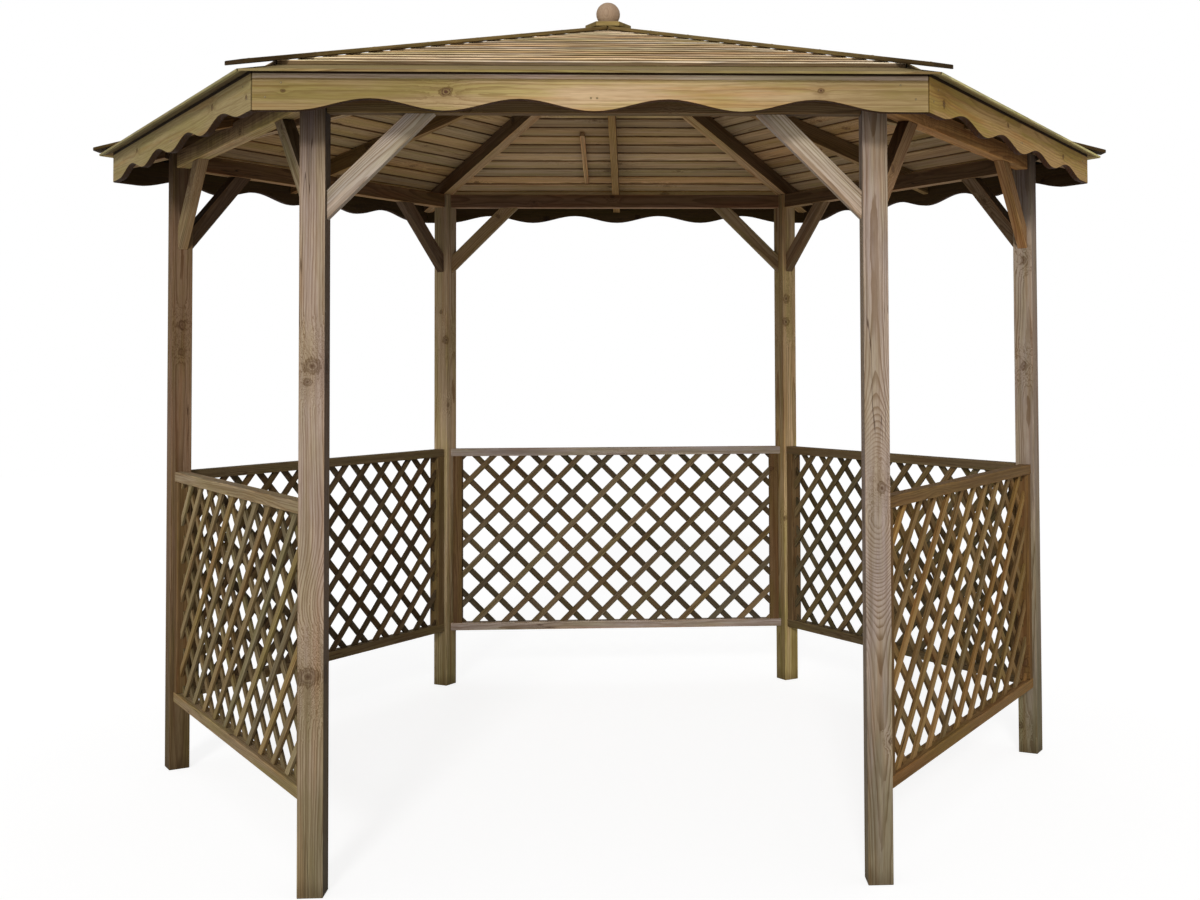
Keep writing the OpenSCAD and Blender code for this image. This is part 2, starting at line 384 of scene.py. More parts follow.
def new_tree(rule, kind):
    """A node group whose inputs are the arguments of a rule and whose outputs are its results."""
    tree = bpy.data.node_groups.new(rule.__name__.replace("_", " ").capitalize(), kind)
    arguments = list(inspect.signature(rule).parameters.values())[1:]
    for argument in arguments:
        label, start = argument.name.replace("_", " ").title(), argument.default
        socket = tree.interface.new_socket(name=label, in_out="INPUT", socket_type=socket_type(start))
        if not isinstance(start, str):
            socket.default_value = start
    w = Wiring(tree)
    given = w.add("NodeGroupInput")
    results = rule(w, *[w.flow(given, i) for i in range(len(arguments))])
    for label, result in results.items():
        tree.interface.new_socket(name=label, in_out="OUTPUT", socket_type=OUTPUTS[result.socket.type])
    w.add("NodeGroupOutput", *results.values())
    return tree


# Shader groups for the wood and the metal

def knot_mark(w, along=0.0, turn=0.0, radius=0.05, ragged=0.5, knot=NOWHERE):
    """One knot that grows straight out from the pith, and the grain it pushes aside."""
    knot_x, knot_turn, knot_r = w.split(knot)
    size = w.math("MAXIMUM", knot_r, 0.0001)
    present = w.math("GREATER_THAN", knot_r, 0.0005)
    past = (along - knot_x) * 0.7
    across = (turn - knot_turn) * radius
    away = w.math("SQRT", past * past + across * across) / size * (ragged * 1.3 + 0.35)
    heart = w.ramp(away, 0.5, 0.1)
    whorl = w.ramp(w.math("FRACT", away * 2.6), 0.25, 0.8) * 0.45
    return {
        "Core": w.ramp(away, 1.15, 0.7) * w.math("MAXIMUM", heart, whorl + 0.28) * present,
        "Rim": w.ramp(w.math("ABSOLUTE", away - 1.0), 0.3, 0.0) * present,
        "Halo": w.math("EXPONENT", away * away * -0.16) * present,
        "Bulge": w.math("EXPONENT", away * away * -0.1) * knot_r * 2.0,
    }


def pine_figure(w, grain=NOWHERE, knot_a=NOWHERE, knot_b=NOWHERE, knot_c=NOWHERE, swirl=NOWHERE,
                ring_width=0.003, wander=0.012, push=1.0):
    """Growth rings, streaks, fibres, cracks and knots of pine in the board's own lengths.

    The grain runs along x, and the pith of the tree lies along the line where
    y and z are nothing. A knot is given by its place along the board, its turn
    round the pith and its size. A swirl is given by its place, its height and
    its length, and bends the rings into arches.
    """
    at = w.split(grain)
    x, y, z = at
    radius = w.math("SQRT", y * y + z * z)
    turn = w.math("ARCTAN2", y, z)
    ragged = w.streaks(at, 70, 110, 3.0, 0.6)
    marks = [
        w.group(knot_mark, Along=x, Turn=turn, Radius=radius, Ragged=ragged, Knot=knot)
        for knot in (knot_a, knot_b, knot_c)
    ]
    core, rim, halo, bulge = [
        sum(w.flow(mark, name) for mark in marks) for name in ("Core", "Rim", "Halo", "Bulge")
    ]
    swirl_x, swirl_h, swirl_l = w.split(swirl)
    off = (x - swirl_x) / w.math("MAXIMUM", swirl_l, 0.01)
    arch = w.math("EXPONENT", off * off * -1) * swirl_h

    drift = (w.streaks(at, 1.4, 6, 1.0) - 0.5) * 2 * wander
    ripple = (w.streaks(at, 14, 60) - 0.5) * 0.0028
    depth = radius + drift + ripple + bulge * push + arch
    uneven = w.noise(w.vector(depth * 70, 3.0, 8.0), 1.0)
    rings = w.math("FRACT", depth / ring_width + uneven * 2)
    late = w.ramp(rings, 0.35, 0.92) * (1 - w.ramp(rings, 0.94, 1.0))
    broken = w.ramp(w.streaks(at, 2.5, 60, shift=2), 0.3, 0.6)
    seam = w.noise(w.vector(x * 1.2, y * 38 + 7, z * 38))
    open_seam = w.ramp(w.streaks(at, 1.9, 9, shift=4), 0.56, 0.64)
    return {
        "Late Wood": late * (broken * 0.6 + 0.4),
        "Streak": w.streaks(at, 1.8, 75, 4.0, 0.65),
        "Fibre": w.streaks(at, 16, 520, 2.0, 0.7),
        "Crack": w.ramp(w.math("ABSOLUTE", seam - 0.5), 0.013, 0.003) * open_seam,
        "Knot": w.math("MINIMUM", core, 1.0),
        "Knot Rim": w.math("MINIMUM", rim, 1.0),
        "Knot Halo": w.math("MINIMUM", halo, 1.0),
    }


def weathering(w, color=WHITE, grain=NOWHERE, age=0.5, grey=WHITE, grey_share=0.4, olive=WHITE,
               olive_share=0.3, red=WHITE, red_share=0.2):
    """Patches of silvered, olive and reddish wood that run with the grain."""
    at = w.split(grain)
    grey_patch = w.ramp(w.streaks(at, 1.9, 16, 4.0, 0.6), 0.4, 0.62)
    olive_patch = w.ramp(w.streaks(at, 2.4, 22, 4.0, 0.6, shift=5), 0.42, 0.64)
    red_patch = w.ramp(w.streaks(at, 1.5, 30, 3.0, 0.6, shift=9), 0.5, 0.66)
    silver = w.math("MINIMUM", grey_patch * grey_share * (age * 1.4 + 0.3), 1.0)
    fresh = w.math("MINIMUM", olive_patch * olive_share * (1.5 - age), 1.0)
    reddened = w.dye(red_patch * red_share, w.dye(fresh, color, olive), red)
    return {"Color": w.dye(silver, reddened, grey)}


def arris_wear(w, color=WHITE, edge=0.0, end=0.0, grain=NOWHERE, bleach=(1.5, 1.45, 1.35, 1.0), amount=0.4):
    """Patchy bleaching along the arrises, partly from weathering and partly a painted highlight, and darker
    faces: cut ends, and faces painted in shade.
    """
    patch = w.ramp(w.streaks(w.split(grain), 9, 60, 3.0), 0.35, 0.6)
    # The arris band is paled, partly as bleaching and partly as a painted highlight.
    worn = w.dye(edge * patch * amount, color, bleach)
    # Cut ends and faces painted in shade are darkened by one colour.
    return {"Color": w.dye(end, worn, (0.16, 0.13, 0.11, 1.0))}


def damp_foot(w, color=WHITE, place=NOWHERE, rise=1.0, olive=(0.56, 0.59, 0.46, 1.0),
              dark=(0.45, 0.4, 0.34, 1.0)):
    """Stains the lowest stretch of an upright timber, with a ragged upper edge."""
    x, y, z = w.split(place)
    ragged = w.noise(w.vector(x * 40, y * 40, z * 5), 4.0) - 0.5
    green = w.ramp(z + ragged * rise, rise, 0.0)
    wet = w.ramp(z + ragged * 0.09, 0.06, 0.0) * 0.6
    return {"Color": w.dye(wet, w.dye(green, color, olive), dark)}


def height_dust(w, color=WHITE, place=NOWHERE, amount=1.0, clear=1.8, full=2.05, ragged=0.15,
                   dust=(0.4, 0.38, 0.4, 1.0)):
    """A tint laid between two heights: none at the one called clear, and all at the one called full."""
    x, y, z = w.split(place)
    uneven = w.noise(w.vector(x * 50, y * 50, z * 5), 4.0) - 0.5
    share = w.ramp(z + uneven * ragged, clear, full) * amount
    return {"Color": w.dye(share, color, dust)}


def sun_patch(w, color=WHITE, place=NOWHERE, middle_x=0.11, middle_y=-1.5, reach=0.7,
              pale=(1.75, 1.75, 2.2, 1.0)):
    """A paler patch where the sun falls longest."""
    x, y, z = w.split(place)
    from_x, from_y = x - middle_x, y - middle_y
    ragged = (w.noise(w.vector(x * 6, y * 6, z * 30), 3.0) - 0.5) * 0.4
    away = w.math("SQRT", from_x * from_x + from_y * from_y) / reach + ragged
    return {"Color": w.dye(w.ramp(away, 1.0, 0.15), color, pale)}


def lap_dirt(w, color=WHITE, board_place=NOWHERE, row=0.0, grain=NOWHERE, top_clear=0.5, top_full=0.86,
             eave_shade=0.3, edge_pale=0.0, pale=(1.25, 1.42, 1.45, 1.0), dark=(0.2, 0.16, 0.12, 1.0)):
    """Painted shade and some dirt where roof boards lap, on their tops, undersides and lower edges, and a
    painted highlight on the eave board's edge.

    Board Place runs from 0 at a board's lower edge to 1 at its upper edge in
    y, and from 0 at its underside to 1 at its top in z.
    """
    ragged = (w.streaks(w.split(grain), 2.2, 8, 3.0) - 0.5) * 0.5
    _, across, through = w.split(board_place)
    upper = w.math("GREATER_THAN", row, 0.5)
    # Painted shade and dirt on a board's top, just below the next board's lower edge.
    top = w.ramp(across + ragged, top_clear, top_full) * through * upper
    # Painted shade on the undersides where the boards lap.
    lapped = w.math("MAXIMUM", w.ramp(across, 0.145, 0.125) * upper, w.ramp(across, 0.98, 1.0)) * 0.8
    # Painted shadow on the underside of the eave board's overhang.
    eave = w.ramp(across, 0.1, 0.14) * (1 - upper) * eave_shade
    under = w.math("MAXIMUM", lapped, eave) * w.ramp(through, 0.3, 0.0)
    # A painted highlight on the eave board's lower edge and the outer part of its underside.
    pale_edge = w.ramp(across, 0.14, 0.1) * w.ramp(through, 1.0, 0.9) * (1 - upper) * edge_pale
    # Painted shade on the lower part of each upper board's lower edge.
    butt = w.ramp(across, 0.025, 0.01) * w.ramp(through + ragged * 0.3, 0.8, 0.66) * upper
    # The painted shade and dirt darken by the colour called dark.
    dirt = w.math("MAXIMUM", w.math("MAXIMUM", top, under), butt)
    return {"Color": w.dye(dirt, w.dye(pale_edge, color, pale), dark)}


def tarnish(w, color=WHITE, place=NOWHERE, rust=paint(96, 62, 40)):
    """Dull blooms and brown specks on plated steel."""
    at = w.split(place)
    bloom = w.streaks(at, 300, 300, 4.0)
    specks = w.ramp(w.streaks(at, 700, 700, shift=4), 0.55, 0.75)
    dulled = w.mix(w.ramp(bloom, 0.3, 0.7) * 0.4, color, paint(88, 82, 70))
    return {"Color": w.mix(specks * 0.7, dulled, rust), "Roughness": bloom * 0.4 + 0.35}


# Finishes

class Timber(NamedTuple):
    """How the pine of one slot is grown and weathered.

    A ring's width and how far the rings wander are in metres. Push is how far
    knots push the rings aside. The others are strengths.
    """

    pine: str
    late: float
    ring: float
    wander: float
    streak: float
    grey: float
    olive: float
    red: float
    # How strongly the arris band is bleached and painted lighter as a highlight.
    wear: float
    push: float = 1.0
    crack: float = 0.7
    knot: float = 0.85


TIMBERS = {
    "post_wood": Timber("post", late=0.95, ring=0.0052, wander=0.022, streak=0.55,
                        grey=0.5, olive=0.55, red=0.45, wear=0.3),
    "frame_wood": Timber("frame", late=0.95, ring=0.005, wander=0.018, streak=0.7,
                         grey=0.3, olive=0.6, red=0.6, wear=0.75),
    "trellis_wood": Timber("trellis", late=0.85, ring=0.0035, wander=0.01, streak=0.7,
                           grey=0.35, olive=0.6, red=0.5, wear=0.6),
    "fascia_wood": Timber("fascia", late=0.6, ring=0.006, wander=0.018, streak=0.22,
                          grey=0.15, olive=0.75, red=0.55, wear=0.3, push=0.3, crack=0.15, knot=1.3),
    "roof_wood": Timber("roof", late=0.85, ring=0.005, wander=0.014, streak=0.6,
                        grey=0.5, olive=0.6, red=0.3, wear=0.5),
    "cap_wood": Timber("strip", late=0.8, ring=0.005, wander=0.012, streak=0.6,
                       grey=0.4, olive=0.5, red=0.2, wear=0.6),
    "ball_wood": Timber("ball", late=0.35, ring=0.005, wander=0.004, streak=0.2,
                        grey=0.2, olive=0.0, red=0.1, wear=0.0),
}


def stain_posts(w, colour):
    """Damp feet, and heads darkened partly by stain and partly as the painted shadow of the roof."""
    footed = w.treat(damp_foot, Color=colour, Place=w.place())
    # The post heads are darkened partly as stain and partly as painted shadow from the fascia.
    return w.treat(height_dust, Color=footed, Place=w.place(), Amount=w.attribute("shelter"))


def stain_frame(w, colour):
    """Painted shade on the beams, close under the roof."""
    # The beams' upper parts are darkened as painted shade from the roof.
    return w.treat(height_dust, Color=colour, Place=w.place(), Amount=w.attribute("shelter"), Clear=2.08,
                   Full=2.13, Ragged=0.04, Dust=(0.36, 0.31, 0.3, 1.0))


def stain_fascia(w, colour):
    """Pale where the sun falls, a band of painted bluish skylight in the eave's shadow and a painted shadow
    line on top, and painted shade under the scallops.
    """
    place = w.place()
    sunned = w.treat(sun_patch, Color=colour, Place=place)
    # A band at the top painted as the eave's shadow lit bluish by the sky.
    band = w.treat(height_dust, Color=sunned, Place=place, Amount=w.attribute("shelter"), Clear=2.118,
                   Full=2.121, Ragged=0.003, Dust=(1.6, 1.75, 2.9, 1.0))
    # A dark line at the very top, painted as the shadow in the gap under the eave board.
    line = w.treat(height_dust, Color=band, Place=place, Clear=2.129, Full=2.132, Ragged=0.0,
                   Dust=(0.06, 0.04, 0.02, 1.0))
    # Faces that look downwards are darkened as painted shade.
    _, _, facing_up = w.split(w.take("ShaderNodeNewGeometry", output="Normal"))
    return w.dye(w.ramp(facing_up, -0.3, -0.6), line, (0.7, 0.48, 0.3, 1.0))


def stain_caps(w, colour):
    """Darker towards the lower tips of the hip strips."""
    return w.treat(height_dust, Color=colour, Place=w.place(), Clear=2.27, Full=2.17, Ragged=0.06,
                   Dust=(0.3, 0.26, 0.25, 1.0))


def stain_roof(w, colour):
    """Painted shade and dirt in the laps, and a painted highlight on the eave edge."""
    return w.treat(lap_dirt, Color=colour, Board_Place=w.attribute("local", "Vector"),
                   Row=w.attribute("row"), Grain=w.attribute("grain", "Vector"),
                   Edge_Pale=w.attribute("shelter"))


STAINS = {
    "post_wood": stain_posts,
    "frame_wood": stain_frame,
    "fascia_wood": stain_fascia,
    "cap_wood": stain_caps,
    "roof_wood": stain_roof,
}
# The finishes that have been made, each under its slot
FINISHES = {}


def new_finish(name):
    """A new material, its wiring and its shader."""
    material = bpy.data.materials.new(name)
    material.use_nodes = True
    FINISHES[name] = material
    return Wiring(material.node_tree), material.node_tree.nodes["Principled BSDF"]


def pine(slot):
    """The finish of one slot, made the first time it is asked for."""
    if slot in FINISHES:
        return FINISHES[slot]
    card = bpy.context.scene.pavilion_finish
    timber = TIMBERS[slot]
    w, shader = new_finish(slot)
    marks = {name.title(): w.attribute(name, "Vector") for name in VECTOR_MARKS[:-1]}
    grain = marks["Grain"]
    figure = w.group(pine_figure, **marks, Ring_Width=timber.ring, Wander=timber.wander, Push=timber.push)
    signs = [w.flow(figure, i) for i in range(len(figure.outputs))]
    late_wood, streak, fibre, crack, knot, rim, halo = signs
    early = w.dye(1.0, getattr(card, timber.pine), w.attribute("cast", "Color"))
    late = w.dye(1.0, early, card.late)
    ringed = w.mix(late_wood * timber.late, early, late)
    streaked = w.mix(w.ramp(streak, 0.45, 0.7) * timber.streak, ringed, late)
    weathered = w.treat(weathering, Color=streaked, Grain=grain, Age=w.attribute("age"), Grey=card.grey,
                        Grey_Share=timber.grey, Olive=card.olive, Olive_Share=timber.olive, Red=card.red,
                        Red_Share=timber.red)
    fibrous = w.mix(w.ramp(fibre, 0.4, 0.75) * 0.5, weathered, late)
    haloed = w.dye(halo * 0.22, fibrous, card.late)
    knotted = w.mix(knot * timber.knot, haloed, card.knot)
    rimmed = w.dye(rim * 0.75, knotted, card.late)
    cracked = w.mix(crack * timber.crack, rimmed, w.dye(1.0, card.knot, card.late))
    colour = w.treat(arris_wear, Color=cracked, Edge=w.attribute("edge"), End=w.attribute("end"),
                     Grain=grain, Amount=timber.wear)
    # Stains and painted light and shade that belong to the slot.
    if slot in STAINS:
        colour = STAINS[slot](w, colour)
    w.feed(shader.inputs["Base Color"], colour)
    w.feed(shader.inputs["Roughness"], 0.92 - late_wood * 0.16 - knot * 0.1)
    w.feed(shader.inputs["Specular IOR Level"], 0.14)
    relief = late_wood * 0.5 + fibre * 0.5 + rim * 0.4 - crack
    w.feed(shader.inputs["Normal"], w.take("ShaderNodeBump", Strength=0.6, Distance=0.0008, Height=relief))
    return FINISHES[slot]


def plated_steel():
    """The finish of screws, nails and pins."""
    name = "plated_steel"
    if name not in FINISHES:
        w, shader = new_finish(name)
        dull = w.group(tarnish, Color=bpy.context.scene.pavilion_finish.zinc, Place=w.place())
        w.feed(shader.inputs["Base Color"], w.flow(dull, "Color"))
        w.feed(shader.inputs["Roughness"], w.flow(dull, "Roughness"))
        w.feed(shader.inputs["Metallic"], 0.85)
    return FINISHES[name]


# Working the timbers

def link(name, mesh):
    """A new object in the scene for a mesh whose place is in its vertices."""
    made = bpy.data.objects.new(name, mesh)
    bpy.context.scene.collection.objects.link(made)
    return made


def declare(piece, slot, *nodes):
    """Hangs a finished piece on the frame, in place of its nodes."""
    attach(piece, BODY)
    if nodes:
        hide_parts(*nodes)
    return piece


def whole_faces(mesh):
    """A mesh to work on, with its loose triangles joined into whole faces."""
    work = bmesh.new()
    work.from_mesh(mesh)
    bmesh.ops.remove_doubles(work, verts=work.verts, dist=MERGE)
    bmesh.ops.dissolve_limit(work, angle_limit=FLAT_TURN, verts=work.verts, edges=work.edges)
    return work


def soften(work, arris, band):
    """Rounds the arrises and marks a band along them that weathers first and is painted lighter as a
    highlight.
    """
    sharp = [e for e in work.edges if len(e.link_faces) == 2 and e.calc_face_angle() > ARRIS_TURN]
    bmesh.ops.bevel(
        work,
        geom=sharp,
        offset=arris,
        offset_type="OFFSET",
        segments=2,
        profile=0.5,
        affect="EDGES",
        clamp_overlap=True,
    )
    edge = work.verts.layers.float.new("edge")
    for vert in work.verts:
        vert[edge] = 1.0
    wide = []
    for face in work.faces:
        around = sum(e.calc_length() for e in face.edges)
        if 2 * face.calc_area() / around > 2.5 * band:
            wide.append(face)
    bmesh.ops.inset_individual(work, faces=wide, thickness=band, use_even_offset=True)
    for face in wide:
        for vert in face.verts:
            vert[edge] = 0.0


def boards(work):
    """The vertices of each separate board in a mesh."""
    found, seen = [], set()
    for start in work.verts:
        board, queue = [], [start]
        while queue:
            vert = queue.pop()
            if vert not in seen:
                seen.add(vert)
                board.append(vert)
                queue += [edge.other_vert(vert) for edge in vert.link_edges]
        if board:
            found.append(board)
    return found


def direction(edge):
    """The way that an edge runs."""
    return (edge.verts[1].co - edge.verts[0].co).normalized()


def board_axes(board):
    """A turn into a board's own axes: along it, across it and out of its flat-sawn face.

    The grain runs along the longest edge, and the widest face that looks to the
    front is the flat-sawn one. Where several are alike, the first one counts.
    """
    edges = {e for v in board for e in v.link_edges}
    faces = {f for v in board for f in v.link_faces}
    along = direction(max(edges, key=lambda e: (round(e.calc_length(), 5), -e.index)))
    sides = [f for f in faces if abs(f.normal.dot(along)) < 0.2]
    widest = max(f.calc_area() for f in sides)
    wide = [f for f in sides if f.calc_area() > 0.8 * widest]
    through = max(wide, key=lambda f: (f.normal.dot(FRONT), -f.index)).normal
    return Matrix((along, through.cross(along).normalized(), through))


def lay_grain(work, pick, look, spread):
    """Lays the grain of each board.

    The rings arch over the flat-sawn face from a pith that lies a little way
    behind it. Knots are put where the look asks for them, and elsewhere they
    fall by chance.
    """
    vectors = {n: work.verts.layers.float_vector.new(n) for n in VECTOR_MARKS}
    age = work.verts.layers.float.new("age")
    # How much a timber is stained and painted with light and shade near the roof.
    shelter = work.verts.layers.float.new("shelter")
    end = work.faces.layers.float.new("end")
    for board in boards(work):
        turn = board_axes(board)
        places = [turn @ v.co for v in board]
        low = Vector(min(p[i] for p in places) for i in range(3))
        high = Vector(max(p[i] for p in places) for i in range(3))
        middle, half = (low + high) / 2, (high - low) / 2
        log_x = pick.uniform(0, 30)
        pith_y, pith_z = look.get("pith", (pick.uniform(-1.3, 1.3) * half.y, pick.uniform(0.022, 0.06)))
        shift = Vector((log_x - middle.x, pith_y - middle.y, pith_z - high.z))
        knots = chance_knots(pick, log_x, half, pith_y, pith_z)
        for i, (spot, size) in enumerate(look.get("knots", [])):
            place = turn @ Vector(spot) + shift
            knots[i] = Vector((place.x, math.atan2(place.y, place.z), size))
        swirl_x = log_x + pick.uniform(-1, 1) * half.x
        swirl = Vector((swirl_x, pick.uniform(-0.01, 0.01), pick.uniform(0.1, 0.4)))
        if "swirl" in look:
            spot, height, reach = look["swirl"]
            swirl = Vector(((turn @ Vector(spot) + shift).x, height, reach))
        values = dict(zip(VECTOR_MARKS[1:], [*knots, swirl, board_cast(pick, look, spread)]))
        board_age = look.get("age", pick.uniform(0, 1))
        for vert, place in zip(board, places):
            vert[vectors["grain"]] = place + shift
            for name, value in values.items():
                vert[vectors[name]] = value
            vert[age] = board_age
            vert[shelter] = look.get("shelter", 0.0)
        for face in {f for v in board for f in v.link_faces}:
            is_end = abs(face.normal.dot(turn[0])) > 0.3
            # Cut ends darken for their grain, and some faces are darkened as painted shade by the way they
            # face.
            face[end] = max(is_end * 0.5, dimness(face, look))


def dimness(face, look):
    """How much a face is darkened as painted shade, chosen by the way that it faces."""
    which, amount = look.get("dim", ("none", 0.0))
    outward = face.calc_center_median() * Vector((1, 1, 0))
    dim = {
        "none": False,
        "sides": abs(face.normal.z) < 0.5,
        "tops": face.normal.z > 0.5,
        "inner": face.normal.dot(outward.normalized()) < -0.3 or face.normal.z < -0.3,
        "left": face.normal.x < -0.5,
        "right": face.normal.x > 0.5,
    }
    return dim[which] * amount


def chance_knots(pick, log_x, half, pith_y, pith_z):
    """Three knots for a board, most of them too small to show."""
    knots = []
    for _ in range(3):
        size = pick.uniform(0.003, 0.011) * (pick.random() < min(0.6 * half.x, 0.6))
        y = pith_y + pick.uniform(-0.8, 0.8) * half.y
        knots.append(Vector((log_x + pick.uniform(-0.9, 0.9) * half.x, math.atan2(y, pith_z), size)))
    return knots


def toned(cast, tone, warmth):
    """A cast with a tone and a warmth of its own."""
    red, green, blue = cast
    return red * tone * (1 + warmth), green * tone, blue * tone * (1 - 1.5 * warmth)


def board_cast(pick, look, spread):
    """What a board's colour is multiplied by: its look's cast and a little of its own."""
    tone = pick.uniform(1 - spread, 1 + spread)
    return Vector(toned(look.get("cast", (1, 1, 1)), tone, pick.uniform(-0.3, 0.3) * spread))


def to_mesh(work, name, slot):
    """The finished mesh, smooth over shallow curves and crisp at arrises."""
    mesh = bpy.data.meshes.new(name)
    work.to_mesh(mesh)
    work.free()
    mesh.shade_smooth()
    mesh.set_sharp_from_angle(angle=CRISP_TURN)
    mesh.materials.clear()
    mesh.materials.append(pine(slot))
    return mesh


def open_mitres(work):
    """Takes a little off both ends of a fascia, so that its mitres stand open."""
    along = direction(max(work.edges, key=lambda e: e.calc_length()))
    for face in [f for f in work.faces if abs(f.normal.dot(along)) > 0.6]:
        inward = along * math.copysign(MITRE_GAP, -face.normal.dot(along))
        bmesh.ops.translate(work, verts=face.verts, vec=inward)


def bed_down(work):
    """Beds the hip strips into the laps that they lie on."""
    under = {v for f in work.faces if f.normal.z < -0.5 for v in f.verts}
    bmesh.ops.translate(work, verts=list(under), vec=(0, 0, -CAP_BED))


def worked_timber(node, slot, seed, spread=0.0, reshape=None):
    """A frame node as sawn timber with softened arrises and a grain of its own."""
    sizes = bpy.context.scene.pavilion_timber
    work = whole_faces(frame["nodes"][node].data)
    if reshape:
        reshape(work)
    soften(work, sizes.arris, sizes.worn_band)
    lay_grain(work, random.Random(seed), look_of(node), spread)
    name = node + ".timber"
    return declare(link(name, to_mesh(work, name, slot)), slot, node)


# Trees that lay out what repeats

def run_rule(tree, values, start=None, arris=0.0):
    """The plain mesh that a geometry tree makes with the given inputs."""
    base = link(tree.name, start or bpy.data.meshes.new(tree.name))
    rule = base.modifiers.new("Rule", "NODES")
    rule.node_group = tree
    sockets = {
        item.name: item.identifier
        for item in tree.interface.items_tree
        if item.item_type == "SOCKET" and item.in_out == "INPUT"
    }
    for name, value in values.items():
        rule[sockets[name]] = value
    if arris:
        bevel = base.modifiers.new("Arris", "BEVEL")
        bevel.width = arris
        bevel.segments = 1
        bevel.limit_method = "ANGLE"
        bevel.angle_limit = LATH_ARRIS_TURN
    return plain_mesh(base)


def plain_mesh(*parts):
    """The mesh of the first object with its modifiers applied. The objects are taken away."""
    graph = bpy.context.evaluated_depsgraph_get()
    mesh = bpy.data.meshes.new_from_object(
        parts[0].evaluated_get(graph), preserve_all_data_layers=True, depsgraph=graph
    )
    for part in parts:
        bpy.data.objects.remove(part)
    return mesh


def store(w, shape, name, value, domain="POINT"):
    """Keeps a value or a vector on the geometry under a name."""
    kind = "FLOAT_VECTOR" if value.socket.type == "VECTOR" else "FLOAT"
    return w.take("GeometryNodeStoreNamedAttribute", data_type=kind, domain=domain, Geometry=shape,
                  Name=name, Value=value)


def recall(w, name, kind="FLOAT"):
    """A value kept on the geometry under a name."""
    return w.take("GeometryNodeInputNamedAttribute", name, data_type=kind)


def position(w):
    """The place of a point."""
    return w.take("GeometryNodeInputPosition")


def chance(w, low, high, seed):
    """A number picked for each instance."""
    return w.take("FunctionNodeRandomValue", None, None, low, high, output=1, data_type="FLOAT", Seed=seed)


def banded_bar(w, size_x, size_y, size_z, steps, band, side_dark=0.0):
    """A bar with its ends, its sides and the bands along its arrises marked. Its sides can be marked to be
    darkened as painted shade.
    """
    bar = w.take("GeometryNodeMeshCube", w.vector(size_x, size_y, size_z), steps, 4, 2)
    x, y, z = w.split(position(w))
    half = size_y * 0.5
    outer = w.math("GREATER_THAN", w.math("ABSOLUTE", y), half - 0.00001)
    inner_y = w.math("SIGN", y) * (half - band)
    placed = w.take("GeometryNodeSetPosition", bar, Selection=1 - outer, Position=w.vector(x, inner_y, z))
    marked = store(w, placed, "edge", outer)
    normal_x, normal_y, _ = w.split(w.take("GeometryNodeInputNormal"))
    is_end = w.math("GREATER_THAN", w.math("ABSOLUTE", normal_x), 0.9)
    # Faces along the bar's sides are marked for painted shade.
    is_side = w.math("GREATER_THAN", w.math("ABSOLUTE", normal_y), 0.9)
    return store(w, marked, "end", w.math("MAXIMUM", is_end, is_side * side_dark), "FACE")


def give_looks(w, shape, cast, spread, knot_reach, knot_share, knot_size, seed):
    """Picks a place in the log, a cast, an age and knots for each instance."""
    ranges = {"age": (0.0, 1.0), "log_x": (0.0, 30.0), "log_y": (-0.05, 0.05), "log_z": (0.02, 0.05)}
    for step, (name, (low, high)) in enumerate(ranges.items()):
        shape = store(w, shape, name, chance(w, low, high, seed + (step + 1)), "INSTANCE")
    tone = chance(w, 1 - spread, 1 + spread, seed)
    warmth = chance(w, -0.3, 0.3, seed + 5) * spread
    shape = store(w, shape, "cast", w.vector(*toned(w.split(cast), tone, warmth)), "INSTANCE")
    for i, name in enumerate(["knot_a", "knot_b"]):
        first = seed + (8 + 4 * i)
        place = recall(w, "log_x") + chance(w, -1.0, 1.0, first) * knot_reach
        rare = w.math("LESS_THAN", chance(w, 0.0, 1.0, first + 1), knot_share)
        size = chance(w, 0.35, 1.0, first + 2) * knot_size * rare
        knot = w.vector(place, chance(w, -0.5, 0.5, first + 3), size)
        shape = store(w, shape, name, knot, "INSTANCE")
    return shape


def on_points(w, line, shape):
    """A shape as an instance on each point of a line."""
    return w.take("GeometryNodeInstanceOnPoints", line, Instance=shape)


def realized(w, shape):
    """Instances as real geometry."""
    return w.take("GeometryNodeRealizeInstances", shape)


def grained(w, shape, along, across, through, finish):
    """Boards with their grain laid, each in its own place in the log, and with their finish."""
    log_x, log_y, log_z = [recall(w, name) for name in ("log_x", "log_y", "log_z")]
    grain = w.vector(along + log_x, across + log_y, through + log_z)
    return w.take("GeometryNodeSetMaterial", store(w, shape, "grain", grain), Material=finish)


